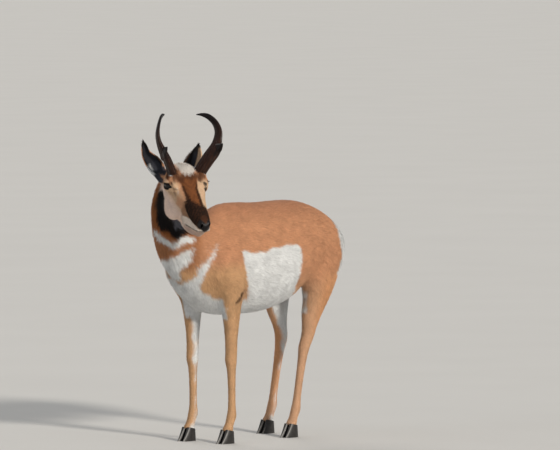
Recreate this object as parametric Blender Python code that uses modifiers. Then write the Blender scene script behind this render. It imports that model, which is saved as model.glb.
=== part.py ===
"""A standing pronghorn buck at life size, its head turned to its left.

Metres, +Z up. The buck faces -X, its left side is -Y, and its hooves stand on z = 0.
The flesh is lofted from measured sections, fused, smoothed, and then parted with thin cuts.
"""

import math
import random

import bmesh
import bpy
import numpy as np
from mathutils import Matrix, Vector
from mathutils.bvhtree import BVHTree

# Driving dimensions of a grown buck
WITHERS = 0.87        # height of the withers
TRUNK = 0.86          # point of the shoulder to the buttock
BARREL = 0.165        # half the width of the barrel
HEAD = 0.33           # poll to nose
EAR = 0.157           # length of an ear
EYE = 0.0235          # radius of an eyeball
LID = 0.0045          # thickness of the lids over it
STANCE = 0.092        # half the distance between left and right legs
STRIDE = 0.085        # how far the left hind foot is set ahead of the right
CORONET = 0.047       # height at which hair gives way to hoof
HOOF = 0.072          # length of a sole
KNEE = 0.300          # height of the cut through a fore knee
HOCK = 0.345          # height of the cut through a hock
MANE_LOCK = 0.060     # length of the longest locks on the nape
GAP = 0.0003          # what touching pieces keep between them

# How the head is carried: turned to the left, nose down, tilted
HEAD_TURN = 66
HEAD_DROP = 33
HEAD_TILT = 2
HEAD_PLACE = (-0.523, -0.129, 0.926)   # midway between the eyes, behind the bridge

# Where each ear is rooted and points, and the way its cup opens, on the level head
EARS = {
    "left": ((0.064, -0.043, 0.040), (0.140, -0.125, 0.152), (-0.60, 0.80, 0)),
    "right": ((0.064, 0.056, 0.038), (0.106, 0.118, 0.180), (-0.85, 0.50, 0)),
}

# Grain of the fused flesh, and the triangles that each piece of it may keep
BODY_VOXEL = 0.0065
HEAD_VOXEL = 0.0024
BODY_FACES = 4600
HEAD_FACES = 2300
MANE_SEED = 5

# Colours and roughness of each kind of part
FINISHES = {
    "hide": ((0.46, 0.25, 0.12, 1), 0.85),
    "horn": ((0.035, 0.025, 0.02, 1), 0.42),
    "hoof": ((0.02, 0.018, 0.016, 1), 0.5),
    "eye": ((0.012, 0.008, 0.006, 1), 0.08),
}


# Sections and lofts

def section(x, y, z, wide, rise, fall, turn=0.0, pitch=0.0, top=1.0, low=1.0):
    """One cross-section: its middle, half width, reach above and below, and the way it faces.

    At turn 0 and pitch 0 it faces -X. Pitch -90 lays it flat for a leg, and rise then runs forward.
    A top or low over 1 pinches that side to a ridge, and under 1 squares it.
    """
    return (x, y, z, wide, rise, fall, turn, pitch, top, low)


def between(rows, steps):
    """Rows with more rows read off a smooth curve between them."""
    rows = np.array(rows, float)
    ends = np.vstack([2 * rows[0] - rows[1], rows, 2 * rows[-1] - rows[-2]])
    made = []
    for i in range(len(rows) - 1):
        a, b, c, d = ends[i:i + 4]
        for step in range(steps):
            t = step / steps
            made.append(
                0.5 * (2 * b + (c - a) * t + (2 * a - 5 * b + 4 * c - d) * t ** 2
                       + (3 * b - a - 3 * c + d) * t ** 3)
            )
    made.append(rows[-1])
    return np.array(made)


def axes(turn, pitch):
    """Forward, left and up of a section."""
    h, p = math.radians(turn), math.radians(pitch)
    ahead = Vector((-math.cos(h) * math.cos(p), -math.sin(h) * math.cos(p), math.sin(p)))
    left = Vector((math.sin(h), -math.cos(h), 0.0))
    return ahead, left, ahead.cross(left)


def new_object(name, mesh):
    made = bpy.data.objects.new(name, mesh)
    bpy.context.scene.collection.objects.link(made)
    return made


def object_from(name, shape):
    """An object from a bmesh, with its faces pointing out."""
    bmesh.ops.recalc_face_normals(shape, faces=shape.faces)
    if shape.calc_volume(signed=True) < 0:
        bmesh.ops.reverse_faces(shape, faces=shape.faces)
    mesh = bpy.data.meshes.new(name)
    shape.to_mesh(mesh)
    shape.free()
    return new_object(name, mesh)


def loft(name, rows, sides=20, steps=3, square=False):
    """A closed skin through the cross-sections. Square turns each one across its own path."""
    rows = between(rows, steps)
    ways = np.gradient(rows[:, :3], axis=0)
    shape = bmesh.new()
    rings = []
    for row, way in zip(rows, ways):
        x, y, z, wide, rise, fall, turn, pitch, top, low = row
        ahead, left, up = axes(turn, pitch)
        if square:
            ahead = Vector(way).normalized()
            left = (left - ahead * left.dot(ahead)).normalized()
            up = ahead.cross(left)
        ring = []
        for k in range(sides):
            angle = 2 * math.pi * k / sides
            c, s = math.cos(angle), math.sin(angle)
            out = math.copysign(abs(s) ** (top if c > 0 else low), s)
            place = Vector((x, y, z)) + left * (wide * out) + up * (c * (rise if c > 0 else fall))
            ring.append(shape.verts.new(place))
        rings.append(ring)
    for near, far in zip(rings, rings[1:]):
        for k in range(sides):
            n = (k + 1) % sides
            shape.faces.new((near[k], far[k], far[n], near[n]))
    shape.faces.new(rings[0])
    shape.faces.new(reversed(rings[-1]))
    return object_from(name, shape)


def in_frame(shape, place, size, turn, pitch):
    """Scales, turns and moves a unit shape. Its size runs forward, to the side and up."""
    ahead, left, up = axes(turn, pitch)
    frame = Matrix((ahead, left, up)).transposed()
    for vert in shape.verts:
        vert.co = Vector(place) + frame @ Vector(a * b for a, b in zip(vert.co, size))
    return shape


def ball(name, place, radii, turn=0.0, pitch=0.0, segments=20):
    """An ellipsoid."""
    shape = bmesh.new()
    bmesh.ops.create_uvsphere(shape, u_segments=segments, v_segments=segments * 2 // 3, radius=1)
    return object_from(name, in_frame(shape, place, radii, turn, pitch))


def slab(name, place, size, turn=0.0, pitch=0.0):
    """A box."""
    shape = bmesh.new()
    bmesh.ops.create_cube(shape, size=1)
    return object_from(name, in_frame(shape, place, size, turn, pitch))


def prism(name, outline, near, far):
    """A flat outline in X and Z, drawn out along Y."""
    shape = bmesh.new()
    rim = [shape.verts.new((x, near, z)) for x, z in outline]
    drawn = bmesh.ops.extrude_face_region(shape, geom=[shape.faces.new(rim)])["geom"]
    moved = [item for item in drawn if isinstance(item, bmesh.types.BMVert)]
    bmesh.ops.translate(shape, verts=moved, vec=(0, far - near, 0))
    return object_from(name, shape)


def beyond(name, point, turn=0.0, pitch=0.0, gap=0.0, reach=1.6):
    """A box that takes in all that lies ahead of a plane."""
    ahead = axes(turn, pitch)[0]
    return slab(name, Vector(point) + ahead * (reach / 2 + gap), (reach, reach, reach), turn, pitch)


def mirrored(rows):
    """The same sections on the right side of the body."""
    return [(x, -y, z, wide, rise, fall, -turn, pitch, top, low)
            for x, y, z, wide, rise, fall, turn, pitch, top, low in rows]


# Working with whole meshes

def finish_modifiers(thing):
    """Bakes the object's modifiers into its mesh."""
    graph = bpy.context.evaluated_depsgraph_get()
    mesh = bpy.data.meshes.new_from_object(thing.evaluated_get(graph))
    thing.modifiers.clear()
    thing.data = mesh
    return thing


def placed(thing, matrix):
    thing.data.transform(matrix)
    return thing


def fused(name, pieces, voxel):
    """One skin round all the overlapping pieces."""
    shape = bmesh.new()
    for piece in pieces:
        shape.from_mesh(piece.data)
        bpy.data.objects.remove(piece)
    whole = object_from(name, shape)
    remesh = whole.modifiers.new("fuse", "REMESH")
    remesh.mode = "VOXEL"
    remesh.voxel_size = voxel
    return finish_modifiers(whole)


def soften(thing, rounds, hold=None):
    """Evens out creases. Hold gives each point's share of the smoothing from its place."""
    mesh = thing.data
    count = len(mesh.vertices)
    place = np.empty(count * 3)
    mesh.vertices.foreach_get("co", place)
    place = place.reshape(-1, 3)
    ends = np.empty(len(mesh.edges) * 2, int)
    mesh.edges.foreach_get("vertices", ends)
    a, b = ends.reshape(-1, 2).T
    degree = np.bincount(np.concatenate([a, b]), minlength=count)[:, None]
    share = np.ones((count, 1)) if hold is None else hold(place)[:, None]
    for _ in range(rounds):
        total = np.zeros_like(place)
        for axis in range(3):
            total[:, axis] = (np.bincount(a, place[b, axis], count)
                              + np.bincount(b, place[a, axis], count))
        place += 0.5 * share * (total / degree - place)
    mesh.vertices.foreach_set("co", place.ravel())
    mesh.update()
    return thing


def thinned(thing, faces):
    """The mesh with about this many triangles."""
    triangles = sum(len(face.vertices) - 2 for face in thing.data.polygons)
    modifier = thing.modifiers.new("thin", "DECIMATE")
    modifier.ratio = min(1.0, faces / triangles)
    return finish_modifiers(thing)


def copy_of(thing, name):
    return new_object(name, thing.data.copy())


def grown(thing, by=GAP):
    """A copy that stands proud of the first by a fixed distance."""
    made = copy_of(thing, thing.name + "_grown")
    modifier = made.modifiers.new("grow", "DISPLACE")
    modifier.strength = by
    modifier.mid_level = 0
    return finish_modifiers(made)


def islands_of(shape):
    """The vertices of each closed surface, smallest first."""
    todo = set(shape.verts)
    islands = []
    while todo:
        island, edge = set(), [todo.pop()]
        while edge:
            vert = edge.pop()
            island.add(vert)
            for link in vert.link_edges:
                other = link.other_vert(vert)
                if other in todo:
                    todo.discard(other)
                    edge.append(other)
        islands.append(island)
    return sorted(islands, key=len)


def keep_largest(thing):
    """Drops every closed surface but the largest."""
    shape = bmesh.new()
    shape.from_mesh(thing.data)
    for island in islands_of(shape)[:-1]:
        bmesh.ops.delete(shape, geom=list(island), context="VERTS")
    shape.to_mesh(thing.data)
    shape.free()
    return thing


def combine(thing, other, way, keep_other=False, solver="EXACT"):
    """Union, difference or intersection of two closed meshes."""
    modifier = thing.modifiers.new(way, "BOOLEAN")
    modifier.operation = way
    modifier.object = other
    modifier.solver = solver
    finish_modifiers(thing)
    if not keep_other:
        bpy.data.objects.remove(other)
    return keep_largest(thing)


def joined_all(thing, pieces):
    """One union of the object with a collection of closed meshes."""
    shelf = bpy.data.collections.new("joining")
    for piece in pieces:
        shelf.objects.link(piece)
    modifier = thing.modifiers.new("join", "BOOLEAN")
    modifier.operation = "UNION"
    modifier.operand_type = "COLLECTION"
    modifier.collection = shelf
    modifier.solver = "EXACT"
    finish_modifiers(thing)
    for piece in pieces:
        bpy.data.objects.remove(piece)
    bpy.data.collections.remove(shelf)
    return keep_largest(thing)


def seated(thing, host):
    """Cuts a piece back to the surface that it grows from."""
    return combine(thing, grown(host), "DIFFERENCE")


# The body

def trunk():
    """The barrel, from the point of the shoulder to the rump, as shares of the driving sizes."""
    rows = []
    for along, top, middle, bottom, wide, ridge in (
        (0.010, 0.800, 0.745, 0.690, 0.22, 1.0),
        (0.04, 0.850, 0.750, 0.640, 0.50, 1.0),
        (0.10, 0.905, 0.755, 0.590, 0.70, 1.1),
        (0.18, 0.950, 0.755, 0.542, 0.80, 1.3),
        (0.27, 0.990, 0.755, 0.526, 0.86, 1.4),
        (0.38, 0.995, 0.748, 0.524, 0.95, 1.2),
        (0.50, 0.990, 0.742, 0.528, 1.02, 1.05),
        (0.61, 0.992, 0.750, 0.550, 1.03, 1.0),
        (0.66, 0.993, 0.758, 0.578, 1.01, 1.0),
        (0.71, 0.993, 0.770, 0.622, 0.98, 1.0),
        (0.76, 0.988, 0.785, 0.655, 0.94, 1.0),
        (0.81, 0.977, 0.795, 0.674, 0.90, 1.0),
        (0.87, 0.955, 0.800, 0.685, 0.86, 1.0),
        (0.94, 0.912, 0.795, 0.690, 0.75, 1.0),
        (0.99, 0.870, 0.790, 0.705, 0.52, 1.0),
        (1.012, 0.830, 0.785, 0.735, 0.24, 1.0),
    ):
        x = (along - 0.5) * TRUNK
        rows.append(section(x, 0, middle * WITHERS, wide * BARREL, (top - middle) * WITHERS,
                            (middle - bottom) * WITHERS, top=ridge))
    return rows


def leg_rows(root, shape):
    """Sections of a left leg, from its top down. Heights are shares of the withers."""
    return [
        section(root - ahead * TRUNK, -STANCE + inward, height * WITHERS, wide, fore, aft, pitch=-90)
        for height, ahead, inward, wide, fore, aft in shape
    ]


def fore_leg():
    """A left foreleg from the shoulder blade to the coronet."""
    return leg_rows(-0.262 * TRUNK, (
        (0.940, -0.060, 0.036, 0.030, 0.030, 0.035),
        (0.885, -0.025, 0.016, 0.044, 0.068, 0.072),
        (0.790, 0.040, 0.000, 0.052, 0.088, 0.096),
        (0.710, 0.058, -0.006, 0.052, 0.082, 0.100),
        (0.640, 0.035, -0.003, 0.046, 0.062, 0.084),
        (0.580, 0.010, 0.000, 0.036, 0.044, 0.054),
        (0.510, 0.003, 0.000, 0.0290, 0.034, 0.036),
        (0.430, 0.003, 0.000, 0.0230, 0.026, 0.026),
        (0.375, 0.003, 0.000, 0.0225, 0.024, 0.022),
        (0.340, 0.004, 0.000, 0.0225, 0.0245, 0.021),
        (0.305, 0.002, 0.000, 0.0180, 0.018, 0.018),
        (0.230, 0.000, 0.000, 0.0150, 0.0155, 0.016),
        (0.150, 0.000, 0.000, 0.0150, 0.015, 0.017),
        (0.112, 0.003, 0.000, 0.0180, 0.018, 0.022),
        (0.080, 0.016, 0.000, 0.0175, 0.016, 0.019),
        (0.052, 0.030, 0.000, 0.0215, 0.021, 0.022),
        (0.030, 0.033, 0.000, 0.0215, 0.022, 0.023),
    ))


def hind_leg(stride=0.0):
    """A left hind leg from the hip to the coronet, with its foot set forward by a stride."""
    rows = leg_rows(0.30 * TRUNK, (
        (0.920, 0.000, 0.050, 0.035, 0.060, 0.060),
        (0.860, -0.006, 0.020, 0.058, 0.100, 0.115),
        (0.780, -0.008, 0.002, 0.066, 0.118, 0.134),
        (0.700, 0.006, -0.006, 0.062, 0.096, 0.116),
        (0.635, 0.018, -0.007, 0.053, 0.066, 0.096),
        (0.575, 0.018, -0.003, 0.043, 0.054, 0.067),
        (0.515, 0.012, 0.000, 0.034, 0.046, 0.050),
        (0.460, -0.004, 0.000, 0.0265, 0.032, 0.033),
        (0.418, -0.014, 0.000, 0.0235, 0.026, 0.029),
        (0.378, -0.012, 0.000, 0.0215, 0.023, 0.026),
        (0.330, 0.000, 0.000, 0.0175, 0.0185, 0.020),
        (0.240, 0.020, 0.000, 0.0150, 0.016, 0.017),
        (0.155, 0.038, 0.000, 0.0150, 0.0155, 0.018),
        (0.114, 0.047, 0.000, 0.0180, 0.018, 0.023),
        (0.080, 0.062, 0.000, 0.0175, 0.016, 0.019),
        (0.052, 0.076, 0.000, 0.0215, 0.021, 0.022),
        (0.030, 0.079, 0.000, 0.0215, 0.022, 0.023),
    ))
    stifle, hock = 0.560 * WITHERS, 0.385 * WITHERS
    return [
        (row[0] - stride * min(1.0, max(0.0, (stifle - row[2]) / (stifle - hock))), *row[1:])
        for row in rows
    ]


def legs():
    """Sections of the four legs by the names of their nodes."""
    return {
        "foreleg_left": fore_leg(),
        "foreleg_right": mirrored(fore_leg()),
        "hindleg_left": hind_leg(STRIDE),
        "hindleg_right": mirrored(hind_leg()),
    }


def neck():
    """The neck, which rises out of the chest and turns with the head."""
    return [
        section(-0.200, 0.000, 0.700, 0.108, 0.130, 0.170, 0, 10, top=1.2),
        section(-0.300, 0.000, 0.712, 0.104, 0.128, 0.168, 0, 20, top=1.25),
        section(-0.385, 0.000, 0.755, 0.092, 0.108, 0.142, 0, 34, top=1.2),
        section(-0.438, -0.002, 0.812, 0.078, 0.086, 0.108, 6, 50, top=1.15),
        section(-0.468, -0.008, 0.868, 0.068, 0.072, 0.084, 20, 58, top=1.1),
        section(-0.480, -0.024, 0.915, 0.060, 0.062, 0.068, 38, 50),
        section(-0.486, -0.048, 0.942, 0.054, 0.052, 0.062, 54, 15),
        section(-0.500, -0.078, 0.940, 0.048, 0.044, 0.056, 64, -20),
    ]


# The head. Ahead, side and up are measured from midway between the eyes.

def level():
    """Where the head is carried, before the nose drops."""
    return (Matrix.Translation(HEAD_PLACE) @ Matrix.Rotation(math.radians(HEAD_TURN), 4, "Z")
            @ Matrix.Rotation(-math.radians(HEAD_TILT), 4, "X"))


def face():
    """The frame of the face, whose -X runs down to the nose."""
    return level() @ Matrix.Rotation(-math.radians(HEAD_DROP), 4, "Y")


def skull():
    """The head from the poll to the nose, as shares of its length."""
    rows = []
    for ahead, top, middle, bottom, wide, ridge, keel in (
        (-0.380, 0.060, 0.000, -0.120, 0.105, 1.0, 1.0),
        (-0.310, 0.140, 0.000, -0.200, 0.150, 1.0, 1.0),
        (-0.230, 0.185, 0.010, -0.270, 0.180, 0.9, 1.1),
        (-0.120, 0.205, 0.030, -0.328, 0.200, 0.85, 1.1),
        (0.000, 0.197, 0.040, -0.350, 0.195, 0.80, 1.05),
        (0.090, 0.172, 0.030, -0.350, 0.174, 0.85, 1.0),
        (0.200, 0.138, 0.010, -0.330, 0.145, 1.0, 1.0),
        (0.310, 0.100, -0.015, -0.302, 0.122, 1.05, 1.0),
        (0.420, 0.062, -0.045, -0.268, 0.104, 1.0, 1.0),
        (0.510, 0.030, -0.065, -0.226, 0.093, 0.9, 1.0),
        (0.570, 0.000, -0.075, -0.165, 0.073, 0.9, 1.0),
        (0.605, -0.022, -0.078, -0.130, 0.051, 1.0, 1.0),
        (0.624, -0.042, -0.072, -0.092, 0.024, 1.0, 1.0),
    ):
        rows.append(section(-ahead * HEAD, 0, middle * HEAD, wide * HEAD, (top - middle) * HEAD,
                            (middle - bottom) * HEAD, top=ridge, low=keel))
    return rows


def head_forms():
    """Forms that stand out of each side of the skull: (ahead, side, up), radii and pitch."""
    return (
        ((0.000, 0.053, 0.022), (0.036, 0.028, 0.029), 0),      # orbit
        ((0.004, 0.056, 0.041), (0.036, 0.020, 0.012), -8),     # brow
        ((0.006, 0.041, -0.066), (0.070, 0.018, 0.046), 24),    # cheek
        ((0.060, 0.036, -0.014), (0.056, 0.012, 0.020), -14),   # cheekbone
        ((-0.016, 0.055, 0.046), (0.030, 0.021, 0.020), 0),     # root of the horn
        ((-0.080, 0.053, 0.004), (0.024, 0.022, 0.028), 0),     # root of the ear
        ((0.183, 0.013, -0.012), (0.019, 0.010, 0.014), -10),   # wing of the nostril
        ((0.160, 0.018, -0.044), (0.040, 0.013, 0.015), 14),    # upper lip
        ((0.112, 0.016, -0.084), (0.060, 0.015, 0.012), 12),    # lower jaw
    )


def head_flesh():
    """The whole head with the upper neck, in one skin."""
    pieces = [loft("skull", skull(), sides=28)]
    for number, (place, radii, pitch) in enumerate(head_forms()):
        ahead, side, up = place
        for way in (-1, 1):
            pieces.append(ball(f"form_{number}_{way}", (-ahead, way * side, up), radii, 0, pitch))
    pieces.append(ball("chin", (-0.152, 0, -0.073), (0.026, 0.018, 0.013)))
    for piece in pieces:
        placed(piece, face())
    pieces += [eyeball(f"lids_{way}", way, EYE + LID) for way in (-1, 1)]
    pieces.append(loft("upper_neck", neck()[3:], sides=28))
    return soften(fused("head", pieces, HEAD_VOXEL), 8)


def body_flesh():
    """Trunk, neck and legs in one skin."""
    pieces = [loft("trunk", trunk(), sides=28)]
    pieces += [loft(name, rows) for name, rows in legs().items()]
    pieces.append(loft("neck", neck(), sides=28))

    def above_the_knee(place):
        low, high = 0.40 * WITHERS, 0.60 * WITHERS
        return 0.10 + 0.90 * np.clip((place[:, 2] - low) / (high - low), 0, 1)

    return soften(fused("body", pieces, BODY_VOXEL), 16, above_the_knee)


def nape():
    """The plane behind the skull: a point, and the way it faces."""
    return face() @ Vector((0.095, 0, -0.02)), HEAD_TURN, -15


def throat():
    """The plane under the angle of the jaw: a point, and the way it faces."""
    return level() @ Vector((0.079, 0, -0.092)), HEAD_TURN, 50


def shoulder():
    """The slanted plane that parts neck from torso."""
    return Vector((-0.34, 0, 0.73)), 0, 34.7


def head_space(gap=0.0):
    """All that lies ahead of the nape and above the throat, which is the head's."""
    return combine(beyond("ahead", *nape(), gap), beyond("above", *throat(), gap), "INTERSECT")


def part_body():
    """Torso, neck and legs, cut from the one skin."""
    body = thinned(body_flesh(), BODY_FACES)
    neck_node = copy_of(body, "neck")
    combine(neck_node, beyond("front", *shoulder(), GAP), "INTERSECT")
    combine(neck_node, head_space(-GAP), "DIFFERENCE")
    torso = copy_of(body, "torso")
    combine(torso, beyond("front", *shoulder()), "DIFFERENCE")
    nodes = [torso, neck_node]
    outlines = {
        "foreleg": (((-0.345, 0.535), (-0.160, 0.500), (-0.160, -0.02), (-0.345, -0.02)), 0.040, KNEE),
        "hindleg": (((0.158, 0.545), (0.480, 0.672), (0.480, -0.02), (0.080, -0.02), (0.080, 0.400),
                     (0.180, 0.490)), GAP / 2, HOCK),
    }
    for kind, (outline, inner, joint) in outlines.items():
        for side, way in (("left", -1), ("right", 1)):
            box = prism("box", outline, way * inner, way * 0.4)
            leg = combine(copy_of(body, "leg"), box, "INTERSECT", keep_other=True)
            combine(torso, grown(box), "DIFFERENCE")
            bpy.data.objects.remove(box)
            upper = copy_of(leg, f"{kind}_upper_{side}")
            combine(upper, beyond("below", (0, 0, joint), 0, -90), "DIFFERENCE")
            lower = copy_of(leg, f"{kind}_lower_{side}")
            combine(lower, beyond("above", (0, 0, joint - GAP), 0, 90), "DIFFERENCE")
            bpy.data.objects.remove(leg)
            foot = legs()[f"{kind}_{side}"][-2]
            ankle = (foot[0], foot[1], CORONET)
            combine(lower, beyond("hoof_side", ankle, 0, -78), "DIFFERENCE")
            nodes += [upper, lower, hoof(f"{kind}_hoof_{side}", ankle)]
    bpy.data.objects.remove(body)
    return nodes


def hoof(name, ankle):
    """Two pointed claws, joined at the heel."""
    x, y, _ = ankle
    claws = []
    for way in (-1, 1):
        rows = [
            section(x, y + way * 0.0118, 0.060, 0.0098, 0.014, 0.018, pitch=-90),
            section(x, y + way * 0.0120, 0.045, 0.0106, 0.021, 0.020, pitch=-90, top=1.1),
            section(x, y + way * 0.0122, 0.020, 0.0112, HOOF * 0.48, 0.022, pitch=-90, top=1.3),
            section(x, y + way * 0.0122, 0.000, 0.0110, HOOF * 0.66, 0.024, pitch=-90, top=1.5),
        ]
        claws.append(loft(f"claw_{way}", rows, sides=9, steps=1))
    heel = ball("heel", (x + 0.009, y, 0.024), (0.013, 0.009, 0.022), segments=9)
    made = joined_all(claws[0], [claws[1], heel])
    made.name = name
    cut = beyond("leg_side", ankle, 0, 102, -GAP)
    return combine(made, cut, "DIFFERENCE")


# What the head carries

def eye_place(way):
    return Vector((0.008, way * 0.0590, 0.022))


def eye_frame(way):
    """An eye's own frame: +Z looks out, and X runs along the opening to its front corner."""
    look = Vector((-0.48, way * 0.86, 0.17)).normalized()
    along = Vector((-0.89, -way * 0.44, -0.14))
    along = (along - look * along.dot(look)).normalized()
    across = look.cross(along)
    turned = Matrix((along, across, look)).transposed().to_4x4()
    return Matrix.Translation(eye_place(way)) @ turned


def eyeball(name, way, radius=EYE):
    made = ball(name, (0, 0, 0), (radius, radius, radius), segments=16)
    return placed(made, face() @ eye_frame(way))


def eye_opening(way, long=0.044, high=0.026, deep=0.007, reach=0.05):
    """An almond that is cut through the lids, from a little above the middle of the eyeball."""
    shape = bmesh.new()
    rim = []
    for k in range(14):
        angle = 2 * math.pi * (k + 0.5) / 14
        c, s = math.cos(angle), math.sin(angle)
        rim.append(shape.verts.new((long / 2 * c, high / 2 * math.copysign(abs(s) ** 1.3, s), deep)))
    face_made = shape.faces.new(rim)
    lifted = bmesh.ops.extrude_face_region(shape, geom=[face_made])["geom"]
    tops = [item for item in lifted if isinstance(item, bmesh.types.BMVert)]
    bmesh.ops.translate(shape, verts=tops, vec=(0, 0, reach))
    return placed(object_from("opening", shape), face() @ eye_frame(way))


def mouth_cut(head):
    """The line between the lips: a thin sheet that reaches a little way in, all round the muzzle."""
    rows = [
        section(-0.112, 0, -0.0780, 0.06, 0.0009, 0.0009),
        section(-0.135, 0, -0.0720, 0.06, 0.0012, 0.0012),
        section(-0.170, 0, -0.0570, 0.06, 0.0012, 0.0012),
        section(-0.235, 0, -0.0350, 0.06, 0.0012, 0.0012),
    ]
    sheet = placed(loft("sheet", rows, sides=4, steps=2), face())
    return combine(sheet, grown(head, -0.003), "DIFFERENCE")


def head_node():
    """The head, with lids, nostrils and the line of the mouth cut into it."""
    head = thinned(head_flesh(), HEAD_FACES)
    combine(head, head_space(), "INTERSECT")
    combine(head, mouth_cut(head), "DIFFERENCE", solver="MANIFOLD")
    for way in (-1, 1):
        socket = combine(eye_opening(way), eyeball("socket", way, EYE + GAP), "UNION")
        combine(head, socket, "DIFFERENCE", solver="MANIFOLD")
        nostril = ball("nostril", (-0.197, way * 0.0145, -0.015), (0.010, 0.0042, 0.008), -way * 30, 30,
                       segments=11)
        combine(head, placed(nostril, face()), "DIFFERENCE", solver="MANIFOLD")
    head.name = "head"
    return head


def horn_rows():
    """A left horn, from its root to its tip: (ahead, side, up) when the head is level."""
    rows = []
    for ahead, side, up, thick, back, fore in (
        (-0.008, 0.052, 0.040, 0.0185, 0.024, 0.026),
        (0.005, 0.062, 0.072, 0.0185, 0.024, 0.027),
        (0.020, 0.083, 0.110, 0.0180, 0.025, 0.031),
        (0.027, 0.105, 0.143, 0.0165, 0.025, 0.034),
        (0.025, 0.119, 0.176, 0.0110, 0.021, 0.024),
        (0.022, 0.123, 0.206, 0.0085, 0.019, 0.021),
        (0.014, 0.115, 0.235, 0.0070, 0.016, 0.016),
        (0.002, 0.097, 0.257, 0.0060, 0.012, 0.012),
        (-0.012, 0.078, 0.266, 0.0045, 0.007, 0.007),
        (-0.024, 0.058, 0.267, 0.0015, 0.002, 0.002),
    ):
        rows.append(section(-ahead, -side, up, thick, back, fore, 12, 90))
    return rows


def prong_rows():
    """The blade that juts from the front of a left horn."""
    return [
        section(-0.022, -0.104, 0.138, 0.0100, 0.024, 0.028, 12, 10),
        section(-0.054, -0.109, 0.147, 0.0080, 0.017, 0.020, 12, 20),
        section(-0.074, -0.111, 0.156, 0.0050, 0.009, 0.012, 12, 30),
        section(-0.086, -0.112, 0.165, 0.0012, 0.002, 0.003, 12, 38),
    ]


def horn(side, way, head):
    """One forked horn, seated on the head."""
    of = list if way < 0 else mirrored
    made = loft("horn_" + side, of(horn_rows()), sides=10, steps=2, square=True)
    prong = loft("prong", of(prong_rows()), sides=8, steps=1)
    combine(made, prong, "UNION")
    placed(made, level())
    return seated(made, head)


def ear_rows():
    """An ear that stands up along +Z and opens towards -X: outside, then what is scooped out."""
    outside, inside = [], []
    for along, lean, wide, back, fore in (
        (0.00, 0.000, 0.016, 0.014, 0.014),
        (0.13, 0.000, 0.020, 0.016, 0.016),
        (0.30, 0.001, 0.028, 0.018, 0.017),
        (0.50, 0.002, 0.032, 0.017, 0.015),
        (0.70, 0.000, 0.026, 0.013, 0.012),
        (0.88, -0.005, 0.013, 0.007, 0.007),
        (1.00, -0.010, 0.002, 0.0015, 0.0015),
    ):
        outside.append(section(lean, 0, along * EAR, wide, back, fore, 0, 90))
    for along, lean, wide, back, fore in (
        (0.17, -0.006, 0.009, 0.008, 0.014),
        (0.30, -0.007, 0.0230, 0.0210, 0.030),
        (0.50, -0.006, 0.0280, 0.0210, 0.030),
        (0.70, -0.006, 0.0225, 0.0155, 0.030),
        (0.88, -0.009, 0.0105, 0.0075, 0.030),
        (0.97, -0.012, 0.0030, 0.0030, 0.020),
    ):
        inside.append(section(lean, 0, along * EAR, wide, back, fore, 0, 90))
    return outside, inside


def ear(side, head):
    """One cupped ear, seated on the head."""
    outside, inside = ear_rows()
    made = loft("ear_" + side, outside, sides=14, steps=2)
    combine(made, loft("scoop", inside, sides=10, steps=2), "DIFFERENCE")
    root, tip, opening = (Vector(place) for place in EARS[side])
    up = (tip - root).normalized()
    back = (-(opening - up * opening.dot(up))).normalized()
    turned = Matrix((back, up.cross(back), up)).transposed().to_4x4()
    placed(made, level() @ Matrix.Translation(root) @ turned)
    return seated(made, head)


def tail(torso):
    """A short tail that lies down over the rump."""
    rows = [
        section(0.375, 0, 0.795, 0.014, 0.012, 0.014, 180, -20),
        section(0.405, 0, 0.782, 0.019, 0.014, 0.016, 180, -40),
        section(0.432, 0, 0.752, 0.024, 0.015, 0.016, 180, -65),
        section(0.441, 0, 0.715, 0.023, 0.014, 0.016, 180, -85),
        section(0.440, 0, 0.687, 0.014, 0.009, 0.012, 180, -88),
        section(0.438, 0, 0.672, 0.003, 0.003, 0.003, 180, -90),
    ]
    return seated(loft("tail", rows, sides=10, steps=1), torso)


def mane(neck_node):
    """Short locks down the nape, each flat, bent and tapered, rooted in the neck."""
    draw = random.Random(MANE_SEED)
    locks = []
    skin = BVHTree.FromPolygons([v.co for v in neck_node.data.vertices],
                                [face.vertices for face in neck_node.data.polygons])
    shoulder_point, shoulder_way = shoulder()[0], axes(*shoulder()[1:])[0]
    nape_point, nape_way = nape()[0], axes(*nape()[1:])[0]
    for number, row in enumerate(between(neck()[1:7], 6)):
        x, y, z, _, _, _, turn, pitch, _, _ = row
        ahead, left, up = axes(turn, pitch)
        lane = (-1, 0.3, 1, -0.3)[number % 4]
        out = (up + left * lane * draw.uniform(0.14, 0.24)).normalized()
        root, normal, _, _ = skin.ray_cast(Vector((x, y, z)) + out * 0.3, -out, 0.3)
        size = MANE_LOCK * draw.uniform(0.85, 1.1)
        sway = draw.uniform(-0.10, 0.22) * lane
        if root is None or (root - shoulder_point).dot(shoulder_way) < size:
            continue
        if (root - nape_point).dot(nape_way) > -0.4 * size:
            continue
        rows = []
        for share, lift, wide in (
            (-0.15, -0.16, 0.8), (0.15, 0.05, 1.0), (0.50, 0.155, 0.95), (0.80, 0.185, 0.6), (1.0, 0.165, 0.1),
        ):
            place = root - ahead * size * share + normal * size * lift + left * size * sway * share
            rows.append(section(*place, 0.016 * wide, 0.0036 * wide, 0.0036 * wide, turn + 180, -pitch + 8))
        locks.append(loft(f"lock_{number}", rows, sides=6, steps=1))
    return joined_all(neck_node, locks)


# Putting it together

def finish(name):
    """A principled material of one of the named finishes."""
    colour, rough = FINISHES[name]
    made = bpy.data.materials.new(name)
    made.use_nodes = True
    shader = made.node_tree.nodes["Principled BSDF"]
    shader.inputs["Base Color"].default_value = colour
    shader.inputs["Roughness"].default_value = rough
    shader.inputs["Metallic"].default_value = 0
    return made


def clear_scene():
    for thing in list(bpy.data.objects):
        bpy.data.objects.remove(thing, do_unlink=True)


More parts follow.
